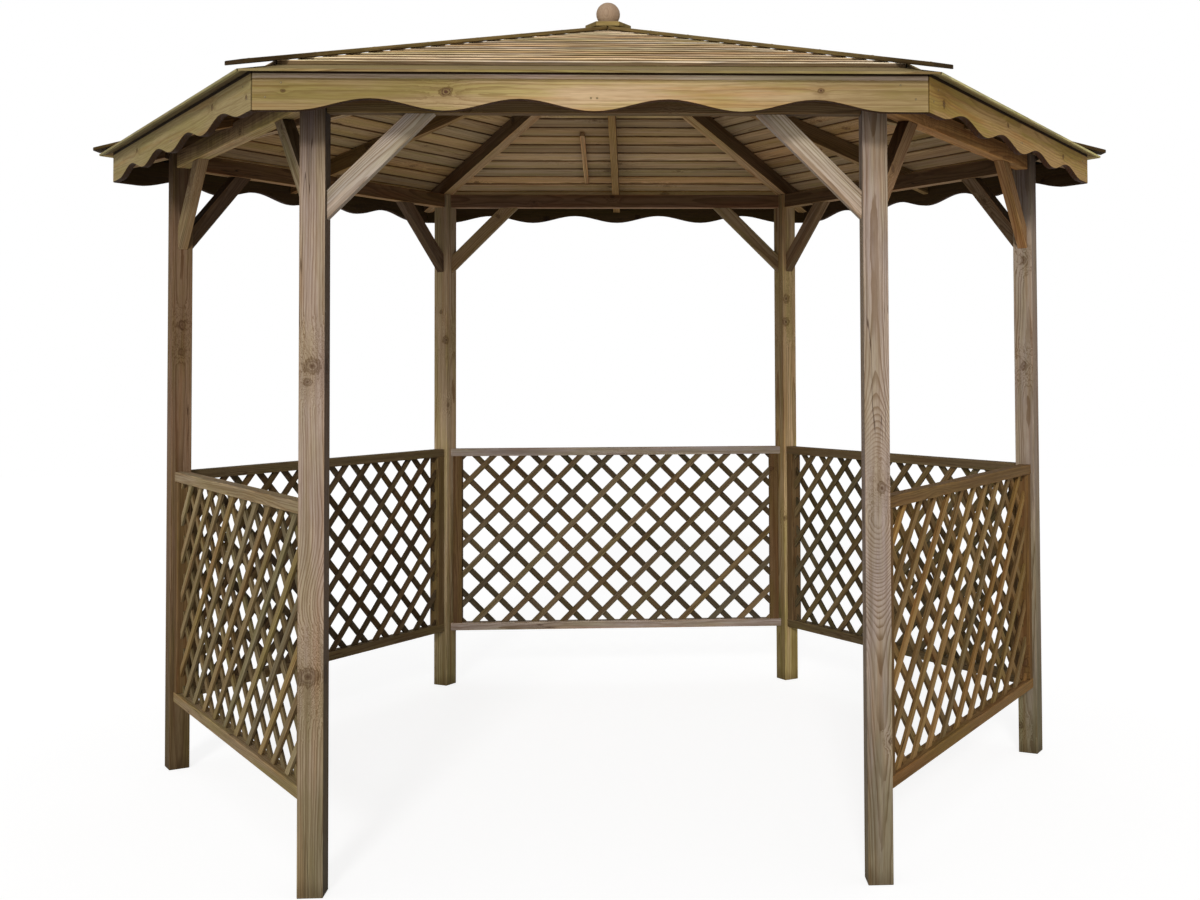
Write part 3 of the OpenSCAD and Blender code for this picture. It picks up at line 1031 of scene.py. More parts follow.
def lapped_roof_boards(w, rows=19, eave_show=0.126, show=0.084, lap=0.012, eave_thickness=0.006,
                       lower_thickness=0.012, upper_thickness=0.005, pitch=0.28, lean=0.065, lift=0.006,
                       eave_out=1.543, eave_height=2.13, hip_splay=0.577, hip_inset=0.0023, peak_clear=0.06,
                       unevenness=0.0018, eave_cast=(1.0, 1.0, 0.85), edge_pale=1.0, cast=(1.0, 1.0, 1.0),
                       spread=0.2, knot_reach=0.5, knot_share=0.3, knot_size=0.01, seed=1, finish=FINISH):
    """A flat eave board, and boards above it that each lean on the one below."""
    plank = banded_bar(w, 2.0, 1.0, 1.0, steps=29, band=0.045)
    moved = w.take("GeometryNodeTransform", plank, Translation=(0.0, 0.5, 0.5))
    board = store(w, moved, "local", position(w))
    line = w.take("GeometryNodeMeshLine", count_mode="TOTAL", mode="OFFSET", Count=rows)
    looks = give_looks(w, on_points(w, line, board), cast, spread, knot_reach, knot_share, knot_size, seed)
    index = w.take("GeometryNodeInputIndex")
    looks = store(w, looks, "row", index, "INSTANCE")
    upper = w.math("GREATER_THAN", index, 0.5)
    own = w.split(recall(w, "cast", "FLOAT_VECTOR"))
    parts = [part * (dull + upper * (1 - dull)) for part, dull in zip(own, w.split(eave_cast))]
    looks = store(w, looks, "cast", w.vector(*parts), "INSTANCE")
    # This amount gives the painted highlight on the eave board's edge.
    looks = store(w, looks, "shelter", edge_pale, "INSTANCE")
    real = realized(w, looks)

    side, across, through = w.split(recall(w, "local", "FLOAT_VECTOR"))
    row = recall(w, "row")
    upper = w.math("GREATER_THAN", row, 0.5)
    board_l = lap + eave_show + upper * (show - eave_show)
    tapered = lower_thickness + across * (upper_thickness - lower_thickness)
    thick = eave_thickness + upper * (tapered - eave_thickness)
    own_lean = lean * upper
    tilt_x, tilt_y = w.math("COSINE", own_lean), w.math("SINE", own_lean)
    start = upper * eave_show + upper * (row - 1) * show
    to_hip = (1 - w.math("ABSOLUTE", side)) * (eave_out - start) * hip_splay
    bow_place = w.vector(side * eave_out * 1.7, recall(w, "log_x"), 0.0)
    bow = (w.ramp(w.noise(bow_place), 0.35, 0.7) * 0.75 + 0.25) * w.ramp(to_hip, 0.01, 0.1)
    rise = upper * (lift + bow * unevenness * (1 - across))
    slope_x = start + across * board_l * tilt_x + through * thick * tilt_y
    slope_y = rise - across * board_l * tilt_y + through * thick * tilt_x
    level, plumb = w.math("COSINE", pitch), w.math("SINE", pitch)
    out_a = eave_out - slope_x * level + slope_y * plumb
    up_z = eave_height + slope_x * plumb + slope_y * level
    kept_a = w.math("MAXIMUM", out_a, peak_clear)
    cut_back = (kept_a - out_a) * w.math("TANGENT", pitch - lean)
    reach = side * (kept_a * hip_splay - hip_inset)
    place = w.vector(reach, 0 - kept_a, up_z - cut_back)
    shaped = w.take("GeometryNodeSetPosition", real, Position=place)
    at_x, _, _ = w.split(position(w))
    return {"Boards": grained(w, shaped, at_x, (across - 0.5) * board_l, through * thick, finish)}


def trellis_laths(w, opening_width=1.35, opening_height=0.72, pitch=0.129, lath_width=0.024,
                  lath_thickness=0.009, unevenness=0.0025, cast=(1.0, 1.0, 1.0), spread=0.2, knot_reach=0.5,
                  knot_share=0.3, knot_size=0.01, seed=1, finish=FINISH):
    """One layer of parallel laths at 45 degrees, each cut to the opening of its frame."""
    half_w, half_h = opening_width * 0.5, opening_height * 0.5
    each_way = w.math("FLOOR", (half_w + half_h) / pitch)
    # The laths' sides are painted in shade.
    bar = banded_bar(w, 1.0, lath_width, lath_thickness, steps=7, band=0.003, side_dark=0.6)
    bar = store(w, bar, "local", position(w))
    line = w.take("GeometryNodeMeshLine", count_mode="TOTAL", mode="OFFSET", Count=each_way * 2 + 1,
                  Start_Location=w.vector(0 - each_way * pitch, 0.0, 0.0), Offset=w.vector(pitch, 0.0, 0.0))
    looks = give_looks(w, on_points(w, line, bar), cast, spread, knot_reach, knot_share, knot_size, seed)
    at, _, _ = w.split(position(w))
    at = at + chance(w, -1.0, 1.0, seed + 6) * unevenness
    real = realized(w, store(w, looks, "at", at, "INSTANCE"))

    s, across, through = w.split(recall(w, "local", "FLOAT_VECTOR"))
    mark = recall(w, "at") + across * math.sqrt(2)
    low = w.math("MAXIMUM", 0 - half_h, 0 - half_w - mark)
    high = w.math("MAXIMUM", low, w.math("MINIMUM", half_h, half_w - mark))
    z = low + (s + 0.5) * (high - low)
    place = w.vector(mark + z, 0 - through - lath_thickness * 0.5, z)
    shaped = w.take("GeometryNodeSetPosition", real, Position=place)
    return {"Laths": grained(w, shaped, z * math.sqrt(2), across, through, finish)}


def fixing_heads(w, seats=SHAPE, diameter=0.008, stand=0.0008, finish=FINISH):
    """Low round heads set on marked seats, each facing the way its seat faces."""
    head = w.take("GeometryNodeMeshCone", Vertices=12, Radius_Top=diameter * 0.34,
                  Radius_Bottom=diameter * 0.5, Depth=stand)
    facing = recall(w, "facing", "FLOAT_VECTOR")
    turned = w.take("FunctionNodeAlignRotationToVector", axis="Z", Vector=facing)
    placed = w.take("GeometryNodeInstanceOnPoints", seats, Instance=head, Rotation=turned)
    return {"Heads": w.take("GeometryNodeSetMaterial", realized(w, placed), Material=finish)}


def on_side(k):
    """The turn from the front side to side k."""
    return Matrix.Rotation(TURN * k, 4, "Z")


def bar_mesh(work, low, high):
    """Adds a square-edged bar between two corners."""
    made = bmesh.ops.create_cube(work, size=1.0)["verts"]
    for vert in made:
        share_up = vert.co + Vector((0.5, 0.5, 0.5))
        vert.co = low + share_up * (high - low)


# The pieces

# The looks of single timbers: a cast by which the slot's colour is multiplied,
# an age that tells how silvered it is, how much it is stained and painted with
# light and shade near the roof, the faces that are painted in shade by the way
# they face and how much, where the pith lies from the middle of its face, and
# knots and swirls at given places. A knot of size 0 is none.
LOOKS = {
    "post_front_left": {
        "cast": (1.22, 1.2, 1.28),
        "age": 0.75,
        "shelter": 1.0,
        "dim": ("right", 0.7),
        "pith": (0.05, 0.04),
        "knots": [((-0.749, -1.333, 1.388), 0.014), ((-0.756, -1.333, 0.574), 0.016),
                  ((-0.76, -1.333, 1.346), 0.006)],
        "swirl": ((-0.75, -1.333, 0.76), -0.03, 0.12),
    },
    "post_front_right": {
        "cast": (1.16, 1.18, 1.34),
        "age": 0.85,
        "shelter": 0.42,
        "pith": (0.0, 0.036),
        "knots": [((0.761, -1.333, 1.053), 0.011), ((0.781, -1.333, 0.38), 0.005),
                  ((0.77, -1.333, 1.7), 0.0)],
        "swirl": ((0.75, -1.333, 0.98), -0.13, 0.2),
    },
    "post_right": {
        "cast": (0.97, 1.0, 1.1),
        "age": 0.8,
        "shelter": 0.8,
        "knots": [((1.488, -0.032, 1.756), 0.008), ((1.484, -0.03, 1.376), 0.01),
                  ((1.458, -0.015, 0.096), 0.008)],
    },
    "post_back_right": {
        "cast": (1.95, 1.85, 1.5),
        "age": 0.1,
        "shelter": 0.6,
        "dim": ("left", 0.45),
        "knots": [((0.752, 1.261, 1.676), 0.013), ((0.751, 1.26, 1.574), 0.013),
                  ((0.74, 1.254, 0.71), 0.007)],
    },
    "post_back_left": {
        "cast": (1.42, 1.38, 1.25),
        "age": 0.3,
        "shelter": 0.6,
        "knots": [((-0.739, 1.253, 1.5), 0.011), ((-0.765, 1.268, 1.623), 0.006),
                  ((-0.733, 1.26, 1.216), 0.007)],
    },
    "post_left": {
        "cast": (0.58, 0.48, 0.41),
        "age": 0.05,
        "shelter": 0.6,
        "knots": [((-1.484, -0.03, 1.534), 0.01), ((-1.486, -0.031, 1.44), 0.007),
                  ((-1.49, -0.03, 0.3), 0.0)],
    },
    "braces_front": {"cast": (1.32, 1.45, 1.72), "age": 0.9, "dim": ("tops", 0.6)},
    "braces_front_left": {"cast": (0.95, 0.92, 0.78), "dim": ("tops", 0.85)},
    "braces_front_right": {"cast": (1.0, 0.74, 0.48), "dim": ("tops", 0.9)},
    "braces_back_left": {"cast": (0.45, 0.38, 0.33), "dim": ("tops", 0.8)},
    "braces_back_right": {"cast": (0.72, 0.62, 0.5), "dim": ("tops", 0.8)},
    "braces_back": {"cast": (0.85, 0.78, 0.62), "dim": ("tops", 0.8)},
    "beam_front_left": {"cast": (2.7, 2.95, 3.0), "shelter": 1.0},
    "beam_front_right": {"cast": (2.75, 2.3, 1.75), "shelter": 0.7},
    # From here to the batten, a high cast with dimmed sides paints the lower faces as lit from below and the
    # sides in shade.
    "beam_back": {"cast": (2.8, 2.7, 3.2), "dim": ("sides", 0.82)},
    "beam_back_left": {"cast": (2.5, 2.3, 2.2), "dim": ("sides", 0.83)},
    "beam_back_right": {"cast": (2.5, 2.4, 2.4), "dim": ("sides", 0.88)},
    "hip_rafters": {"cast": (3.1, 3.3, 3.7), "dim": ("sides", 0.9)},
    "middle_rafters": {"cast": (2.4, 2.3, 2.0), "dim": ("sides", 0.7)},
    "splice_batten": {"cast": (4.4, 4.3, 4.4), "dim": ("sides", 0.7)},
    "hip_caps": {"cast": (1.05, 1.05, 0.85)},
    "peak_plate": {"cast": (1.7, 1.8, 1.6)},
    "fascia_front": {
        "cast": (0.82, 0.74, 0.73),
        "shelter": 1.0,
        "dim": ("inner", 1.0),
        "pith": (0.012, 0.03),
        "knots": [((-0.377, -1.502, 2.085), 0.011), ((-0.787, -1.502, 2.086), 0.004),
                  ((0.585, -1.502, 2.092), 0.006)],
    },
    "fascia_front_left": {
        "cast": (0.9, 0.88, 0.9),
        "dim": ("inner", 1.0),
        "knots": [((-1.059, -1.17, 2.099), 0.009), ((-1.539, -0.338, 2.1), 0.008),
                  ((-0.889, -1.464, 2.077), 0.005)],
    },
    "fascia_front_right": {
        "cast": (1.14, 0.92, 0.78),
        "dim": ("inner", 1.0),
        "knots": [((0.926, -1.4, 2.077), 0.008), ((1.227, -0.879, 2.105), 0.006),
                  ((1.557, -0.307, 2.09), 0.006)],
    },
    "fascia_back_left": {"cast": (0.8, 0.74, 0.72), "dim": ("inner", 1.0)},
    "fascia_back_right": {"cast": (0.85, 0.76, 0.7), "dim": ("inner", 1.0)},
    "fascia_back": {"cast": (0.82, 0.76, 0.72), "dim": ("inner", 1.0)},
    "roof_front": {"cast": (1.66, 1.8, 2.2)},
    "roof_front_left": {"cast": (0.95, 0.95, 0.9)},
    "roof_front_right": {"cast": (0.98, 0.98, 0.86)},
    "roof_back": {"cast": (1.5, 1.4, 1.35)},
    "roof_back_left": {"cast": (1.15, 1.08, 1.0)},
    "roof_back_right": {"cast": (1.15, 1.05, 1.0)},
    "rails_back": {"cast": (2.0, 2.45, 4.8), "age": 0.6},
    "rails_front_left": {"cast": (1.7, 1.85, 2.4)},
    "rails_front_right": {"cast": (1.15, 0.95, 0.75)},
    "rails_back_left": {"cast": (0.75, 0.75, 0.8)},
    "rails_back_right": {"cast": (0.8, 0.85, 1.0)},
    "stiles_back": {"cast": (0.75, 0.65, 0.65)},
    "stiles_back_left": {"cast": (0.8, 0.75, 0.7)},
    "stiles_back_right": {"cast": (0.7, 0.65, 0.65)},
    "stiles_front_left": {"cast": (0.8, 0.72, 0.7)},
    "stiles_front_right": {"cast": (0.9, 0.72, 0.6)},
    "laths_back": {"cast": (0.72, 0.75, 0.9)},
    "laths_back_left": {"cast": (0.54, 0.52, 0.57)},
    "laths_back_right": {"cast": (0.78, 0.84, 0.91)},
    "laths_front_left": {"cast": (1.45, 1.57, 1.72)},
    "laths_front_right": {"cast": (1.54, 1.4, 1.2)},
}


def look_of(name):
    """The look of a timber, which is plain where none is given."""
    return LOOKS.get(name, {})


def make_posts():
    """Six square posts with damp feet."""
    for seed, name in enumerate(POSTS):
        worked_timber("post_" + name, "post_wood", 11 + seed)


def make_beams_and_braces():
    """The wall beams and their knee braces."""
    for seed, side in enumerate(SIDES):
        worked_timber("beam_" + side, "frame_wood", 31 + seed, 0.1)
        worked_timber("braces_" + side, "post_wood", 41 + seed, 0.12)


def make_rafters():
    """The rafters, the loose batten and the block in which the rafters meet."""
    for seed, node in enumerate(["hip_rafters", "middle_rafters", "splice_batten", "peak_block"]):
        worked_timber(node, "frame_wood", 51 + seed, 0.15)


def make_fascias():
    """The scalloped boards round the eaves."""
    for seed, side in enumerate(SIDES):
        worked_timber("fascia_" + side, "fascia_wood", 61 + seed, reshape=open_mitres)


def make_caps():
    """The strips over the hips and the plate at the peak."""
    worked_timber("hip_caps", "cap_wood", 71, 0.1, reshape=bed_down)
    worked_timber("peak_plate", "cap_wood", 72)


def ring_of_verts(work, radius, z, count):
    """A ring of vertices at one height."""
    turns = [math.tau * j / count for j in range(count)]
    return [work.verts.new((radius * math.cos(turn), radius * math.sin(turn), z)) for turn in turns]


def make_ball():
    """The turned ball, with the faint rounds that the chisel leaves."""
    low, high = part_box("finial_ball")
    radius = (high.x - low.x) / 2
    centre_z = high.z - radius
    drop = centre_z - low.z
    seat_r = math.sqrt(max(radius ** 2 - drop ** 2, 0))
    lowest = math.pi - math.acos(min(drop / radius, 1))
    rings, sides = 44, 56
    work = bmesh.new()
    grain = work.verts.layers.float_vector.new("grain")
    cast = work.verts.layers.float_vector.new("cast")
    age = work.verts.layers.float.new("age")
    loops = []
    for i in range(1, rings - 1):
        turn = lowest * i / (rings - 1)
        groove = 0.0002 * (1 + math.cos(turn * 23))
        out, up = (radius - groove) * math.sin(turn), (radius - groove) * math.cos(turn)
        loops.append(ring_of_verts(work, out, centre_z + up, sides))
    loops.append(ring_of_verts(work, seat_r, low.z, sides))
    top = work.verts.new((0, 0, high.z))
    for j in range(sides):
        after = (j + 1) % sides
        work.faces.new((top, loops[0][j], loops[0][after]))
        for upper, lower in zip(loops, loops[1:]):
            work.faces.new((upper[j], lower[j], lower[after], upper[after]))
    work.faces.new(list(reversed(loops[-1])))
    bmesh.ops.recalc_face_normals(work, faces=work.faces)
    for vert in work.verts:
        x, y, z = vert.co
        vert[grain] = Vector((z - centre_z + 3.0, x + 0.01, y + radius + 0.02))
        vert[cast] = Vector((1, 1, 1))
        vert[age] = 0.5
    name = "finial_ball.turned"
    declare(link(name, to_mesh(work, name, "ball_wood")), "ball_wood", "finial_ball")


def framed(bars, name, seed, look):
    """The bars of a panel's frame, softened and with their grain laid."""
    timber = bpy.context.scene.pavilion_timber
    soften(bars, timber.arris, timber.worn_band)
    lay_grain(bars, random.Random(seed), look, 0.12)
    return link(name, to_mesh(bars, name, "trellis_wood"))


def bars_on_side(k, half_t, corners):
    """Square-edged bars in the wall of side k, each given by two corners of its face."""
    bars = bmesh.new()
    for (left, low), (right, high) in corners:
        bar_mesh(bars, Vector((left, -WALL_A - half_t, low)), Vector((right, -WALL_A + half_t, high)))
    bars.transform(on_side(k))
    return bars


def solid(work, name):
    """An object in the scene made from a mesh that was worked on."""
    mesh = bpy.data.meshes.new(name)
    work.to_mesh(mesh)
    work.free()
    return link(name, mesh)


def panel_rails(side, seed):
    """The rails of one trellis panel, scribed to their posts."""
    rail_w = bpy.context.scene.pavilion_trellis.rail_w
    k = SIDES.index(side)
    low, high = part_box("trellis_back")
    lows = (low.z, high.z - rail_w)
    corners = [((-SIDE_L / 2, z), (SIDE_L / 2, z + rail_w)) for z in lows]
    uncut = solid(bars_on_side(k, (high.y - low.y) / 2, corners), "uncut rails")
    cutters = []
    for corner in (k, k + 1):
        post = frame["nodes"]["post_" + POSTS[corner % len(POSTS)]]
        cutters.append(solid(whole_faces(post.data), "post cutter"))
        cut = uncut.modifiers.new("Scribe", "BOOLEAN")
        cut.operation = "DIFFERENCE"
        cut.solver = "EXACT"
        cut.object = cutters[-1]
    work = whole_faces(plain_mesh(uncut, *cutters))
    drop_far_ends(work, k)
    return framed(work, "rails of " + side, seed, look_of("rails_" + side))


def panel_stiles(side, seed):
    """The two stiles of one trellis panel, between its rails."""
    sizes = bpy.context.scene.pavilion_trellis
    low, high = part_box("trellis_back")
    bottom, top = low.z + sizes.rail_w, high.z - sizes.rail_w
    stile_x = SIDE_L / 2 - sizes.stile_in
    lefts = (-stile_x, stile_x - sizes.stile_w)
    corners = [((x, bottom), (x + sizes.stile_w, top)) for x in lefts]
    stiles = bars_on_side(SIDES.index(side), (high.y - low.y) / 2 - STILE_SET_BACK, corners)
    return framed(stiles, "stiles of " + side, seed, look_of("stiles_" + side))


def drop_far_ends(work, k):
    """Deletes what the scribing leaves on the far side of a post."""
    along = on_side(k).to_3x3() @ Vector((1, 0, 0))
    for board in boards(work):
        middle = sum((v.co for v in board), Vector()) / len(board)
        if abs(middle.dot(along)) > SIDE_L / 4:
            bmesh.ops.delete(work, geom=board, context="VERTS")


def join(parts, name):
    """One object out of several, with their attributes kept."""
    with bpy.context.temp_override(
        active_object=parts[0], object=parts[0], selected_objects=parts, selected_editable_objects=parts
    ):
        bpy.ops.object.join()
    parts[0].name = name
    parts[0].data.name = name
    return parts[0]


def opening():
    """Width, height and middle height of the opening in a trellis frame."""
    sizes = bpy.context.scene.pavilion_trellis
    low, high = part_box("trellis_back")
    open_w = SIDE_L - 2 * (sizes.stile_in + sizes.stile_w)
    open_h = high.z - low.z - 2 * sizes.rail_w
    return open_w, open_h, (high.z + low.z) / 2


def make_trellis():
    """The five trellis panels. Their laths cross in two layers, the rear one painted darker as shade."""
    sizes = bpy.context.scene.pavilion_trellis
    tree = new_tree(trellis_laths, "GeometryNodeTree")
    open_w, open_h, mid_z = opening()
    values = {
        "Opening Width": open_w + 2 * BITE,
        "Opening Height": open_h + 2 * BITE,
        "Pitch": sizes.lath_pitch,
        "Lath Width": sizes.lath_w,
        "Lath Thickness": sizes.lath_t,
        "Spread": 0.3,
        "Knot Share": 0.2,
        "Knot Size": 0.006,
        "Finish": pine("trellis_wood"),
    }
    for k, side in enumerate(SIDES):
        node = "trellis_" + side
        if node not in frame["nodes"]:
            continue
        parts = [panel_rails(side, 81 + k), panel_stiles(side, 91 + k)]
        cast = Vector(look_of("laths_" + side)["cast"])
        # The layer nearer the camera is painted lighter, and the one behind it darker as painted shade.
        paler = 1 if "back" in side else 0
        for layer in range(2):
            values["Cast"] = cast * (1.1 if layer == paler else 0.72)
            values["Seed"] = 200 + 40 * k + 20 * layer
            mesh = run_rule(tree, values, arris=sizes.arris)
            face_about = Matrix.Rotation(math.pi * layer, 4, "Z")
            mesh.transform(on_side(k) @ Matrix.Translation((0, -WALL_A, mid_z)) @ face_about)
            parts.append(link("laths", mesh))
        declare(join(parts, node + ".panel"), "trellis_wood", node)


def roof_values():
    """What the roof tree needs, worked out from the frame and the roof's sizes."""
    sizes = bpy.context.scene.pavilion_roof
    low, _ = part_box("roof_front")
    block_low, block_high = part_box("peak_block")
    board_l = sizes.show + sizes.lap
    lap_t = sizes.top_t + (sizes.board_t - sizes.top_t) * sizes.lap / board_l
    lean = math.asin((lap_t - BITE) / sizes.show)
    lift = board_l * math.sin(lean)
    eave_out = -low.y - (lift + BITE) * math.sin(sizes.pitch)
    return {
        "Rows": math.ceil((eave_out / math.cos(sizes.pitch) - sizes.eave_show) / sizes.show) + 1,
        "Eave Show": sizes.eave_show,
        "Show": sizes.show,
        "Lap": sizes.lap,
        "Eave Thickness": lift - BITE,
        "Lower Thickness": sizes.board_t,
        "Upper Thickness": sizes.top_t,
        "Pitch": sizes.pitch,
        "Lean": lean,
        "Lift": lift,
        "Eave Out": eave_out,
        "Eave Height": low.z,
        "Hip Splay": math.tan(HALF_TURN),
        "Hip Inset": sizes.hip_gap / math.cos(HALF_TURN),
        "Peak Clear": (block_high.x - block_low.x) / 2 + sizes.peak_gap,
    }


def make_roof():
    """The lapped boards of the six roof faces."""
    tree = new_tree(lapped_roof_boards, "GeometryNodeTree")
    values = roof_values()
    arris = bpy.context.scene.pavilion_roof.arris
    for k, side in enumerate(SIDES):
        node = "roof_" + side
        looks = {
            "Cast": look_of(node).get("cast", (1, 1, 1)),
            "Eave Cast": (0.43, 0.41, 0.29) if side == "front" else (1.0, 1.0, 0.85),
            # The painted highlight on the eave edge goes to every side but the front.
            "Edge Pale": float(side != "front"),
            "Spread": 0.28,
            "Knot Reach": 0.7,
            "Knot Share": 0.7,
            "Knot Size": 0.013,
            "Seed": 400 + 40 * k,
            "Finish": pine("roof_wood"),
        }
        mesh = run_rule(tree, {**values, **looks}, arris=arris)
        mesh.transform(on_side(k))
        mesh.name = node + ".boards"
        declare(link(mesh.name, mesh), "roof_wood", node)


# Fixings

def seat(k, place, way=FRONT):
    """A seat given on the front side, turned to side k: its place and the way that it faces."""
    return on_side(k) @ Vector(place), on_side(k).to_3x3() @ Vector(way)


def set_heads(tree, name, seats, diameter, stand):
    """Heads on a list of seats."""
    mesh = bpy.data.meshes.new(name)
    mesh.from_pydata([place for place, _ in seats], [], [])
    facing = mesh.attributes.new("facing", "FLOAT_VECTOR", "POINT")
    facing.data.foreach_set("vector", [part for _, way in seats for part in way.normalized()])
    made = run_rule(tree, {"Diameter": diameter, "Stand": stand, "Finish": plated_steel()}, mesh)
    made.name = name
    declare(link(name, made), None)


def fascia_seats():
    """Screws through each fascia into the rafters behind it."""
    low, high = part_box("fascia_front")
    outer, inner = FASCIA_SCREW_IN
    lower, upper = FASCIA_SCREW_UP
    seats = []
    for k in range(len(SIDES)):
        for hand in (-1, 1):
            seats.append(seat(k, (hand * (high.x - outer), low.y, low.z + lower)))
            seats.append(seat(k, (hand * (high.x - inner), low.y, low.z + upper)))
            seats.append(seat(k, (hand * FASCIA_MIDDLE_SCREW, low.y, low.z + lower)))
    return seats


def hip_seats():
    """Screws down the middle of each hip strip, from its tip up."""
    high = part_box("hip_caps")[1]
    fall = math.tan(bpy.context.scene.pavilion_roof.pitch) * math.cos(HALF_TURN)
    seats = []
    for k in range(len(SIDES)):
        for i in range(int((high.x - HIP_SCREW_CLEAR) / HIP_SCREW_PITCH) + 1):
            out_r = high.x - HIP_SCREW_IN - i * HIP_SCREW_PITCH
            seats.append(seat(k, (out_r, 0, high.z - (out_r - HIP_CAP_START) * fall), (fall, 0, 1)))
    return seats


def brace_seats():
    """Two screws up through the lower edge of each knee brace."""
    seats = []
    for k, side in enumerate(SIDES):
        beam_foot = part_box("beam_" + side)[0].z
        reach = beam_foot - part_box("braces_" + side)[0].z
        for hand in (-1, 1):
            for share in BRACE_SCREW_SHARES:
                place = (hand * (SIDE_L / 2 - reach * share), -WALL_A, beam_foot - reach * (1 - share))
                seats.append(seat(k, place, (-hand, 0, -1)))
    return seats


def nail_seats():
    """Nails through the lower part of each roof board into the rafters."""
    values = roof_values()
    pitch = values["Pitch"]
    taper = (values["Upper Thickness"] - values["Lower Thickness"]) / (values["Show"] + values["Lap"])
    seats = []
    for row in range(values["Rows"]):
        lean = values["Lean"] if row else 0
        start = values["Eave Show"] + (row - 1) * values["Show"] if row else 0
        lift = values["Lift"] if row else 0
        thick = values["Lower Thickness"] + taper * NAIL_UP if row else values["Eave Thickness"]
        slope_x = start + NAIL_UP * math.cos(lean) + thick * math.sin(lean)
        slope_y = lift - NAIL_UP * math.sin(lean) + thick * math.cos(lean)
        y = -values["Eave Out"] + slope_x * math.cos(pitch) - slope_y * math.sin(pitch)
        z = values["Eave Height"] + slope_x * math.sin(pitch) + slope_y * math.cos(pitch)
        way = (0, -math.sin(pitch - lean), math.cos(pitch - lean))
        reach = -y * values["Hip Splay"]
        places = [(x, y, z) for x in (NAIL_IN - reach, 0.0, reach - NAIL_IN) if abs(x) < reach]
        seats += [seat(k, place, way) for place in places for k in range(len(SIDES))]
    return seats


def pin_seats():
    """A pin where each pair of laths crosses."""
    sizes = bpy.context.scene.pavilion_trellis
    open_w, open_h, mid_z = opening()
    each_way = int((open_w + open_h) / 2 / sizes.lath_pitch)
    closed = [k for k, side in enumerate(SIDES) if "trellis_" + side in frame["nodes"]]
    seats = []
    for one in range(-each_way, each_way + 1):
        for other in range(-each_way, each_way + 1):
            x = (one - other) * sizes.lath_pitch / 2
            z = -(one + other) * sizes.lath_pitch / 2
            if abs(x) < open_w / 2 - sizes.lath_w and abs(z) < open_h / 2 - sizes.lath_w:
                seats += [seat(k, (x, -WALL_A - sizes.lath_t, mid_z + z)) for k in closed]
    return seats


def make_fixings():
    """Screws, roof nails and trellis pins."""
    sizes = bpy.context.scene.pavilion_fixings
    tree = new_tree(fixing_heads, "GeometryNodeTree")
    set_heads(tree, "screws.braces", brace_seats(), sizes.screw_d, 0.0012)
    set_heads(tree, "screws.fascias", fascia_seats(), sizes.nail_d, 0.0008)
    set_heads(tree, "screws.hip_strips", hip_seats(), sizes.screw_d, 0.0012)
    set_heads(tree, "nails.roof", nail_seats(), sizes.nail_d, 0.0012)
    set_heads(tree, "pins.trellis", pin_seats(), sizes.pin_d, 0.0009)


# The stage

def floor_material(colour):
    """A pale floor that the camera sees as near white and that still takes a shadow."""
    material = bpy.data.materials.new("pale_floor")
    material.use_nodes = True
    material.node_tree.nodes.clear()
    w = Wiring(material.node_tree)
    x, y, z = w.split(w.place())
    mottle = w.noise(w.vector(x * 3, y * 3, z), 3.0)
    tone = w.mix(mottle * 0.04, colour, (0.7, 0.7, 0.7, 1.0))
    plain = w.take("ShaderNodeBsdfDiffuse", tone)
    glow = w.take("ShaderNodeEmission", WHITE, 0.82)
    faint = w.take("ShaderNodeBsdfDiffuse", (0.35, 0.35, 0.35, 1.0))
    above = w.take("ShaderNodeMixShader", w.seen(), plain, w.take("ShaderNodeAddShader", glow, faint))
    behind = w.take("ShaderNodeNewGeometry", output="Backfacing")
    whole = w.take("ShaderNodeMixShader", behind, above, w.take("ShaderNodeBsdfTransparent"))
    w.add("ShaderNodeOutputMaterial", whole)
    return material


def make_world(fill):
    """White where the camera or a reflection sees it, and an even fill elsewhere."""
    world = bpy.data.worlds.new("studio")
    world.use_nodes = True
    world.node_tree.nodes.clear()
    w = Wiring(world.node_tree)
    through = w.take("ShaderNodeLightPath", output="Is Transmission Ray")
    even = w.take("ShaderNodeBackground", WHITE, fill)
    white = w.take("ShaderNodeBackground", WHITE, 1.0)
    seen = w.math("MAXIMUM", w.seen(), through)
    w.add("ShaderNodeOutputWorld", w.take("ShaderNodeMixShader", seen, even, white))
    bpy.context.scene.world = world


def add_light(name, strength, rise, spread):
    """A soft light from the front, a little to the left. Its angles are in degrees."""
    lamp = bpy.data.lights.new(name, "SUN")
    lamp.energy = strength
    lamp.angle = math.radians(spread)
    light = link(name, lamp)
    light.rotation_euler = (math.radians(90 - rise), 0, math.radians(-6))


def make_studio():
    """Floor, light and camera."""
    scene = bpy.context.scene
    studio = scene.pavilion_studio
    mesh = bpy.data.meshes.new("floor")
    corners = [(x * FLOOR_REACH, y * FLOOR_REACH, 0) for x, y in ((-1, -1), (1, -1), (1, 1), (-1, 1))]
    mesh.from_pydata(corners, [], [(0, 1, 2, 3)])
    mesh.materials.append(floor_material(studio.floor))
    link("floor", mesh)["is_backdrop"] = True
    make_world(studio.fill)

    add_light("high front light", studio.key, math.degrees(studio.key_rise), 9)
    add_light("low front light", studio.low, 3, 25)

    camera = bpy.data.cameras.new("camera")
    camera.lens = studio.lens
    camera.sensor_width = 36
    camera.shift_x, camera.shift_y = CAMERA_SHIFT
    view = link("camera", camera)
    view.location = CAMERA_PLACE
    view.rotation_euler = [math.radians(turn) for turn in CAMERA_TURN]
    scene.camera = view
    scene.view_settings.view_transform = "Standard"


# Operators and panel

class PAVILION_OT_posts(bpy.types.Operator):
    """Work the six posts"""

    bl_idname = "pavilion.posts"
    bl_label = "Posts"

    def execute(self, context):
        make_posts()
        return {"FINISHED"}


class PAVILION_OT_beams(bpy.types.Operator):
    """Work the wall beams and the knee braces"""

    bl_idname = "pavilion.beams"
    bl_label = "Beams and Braces"

    def execute(self, context):
        make_beams_and_braces()
        return {"FINISHED"}


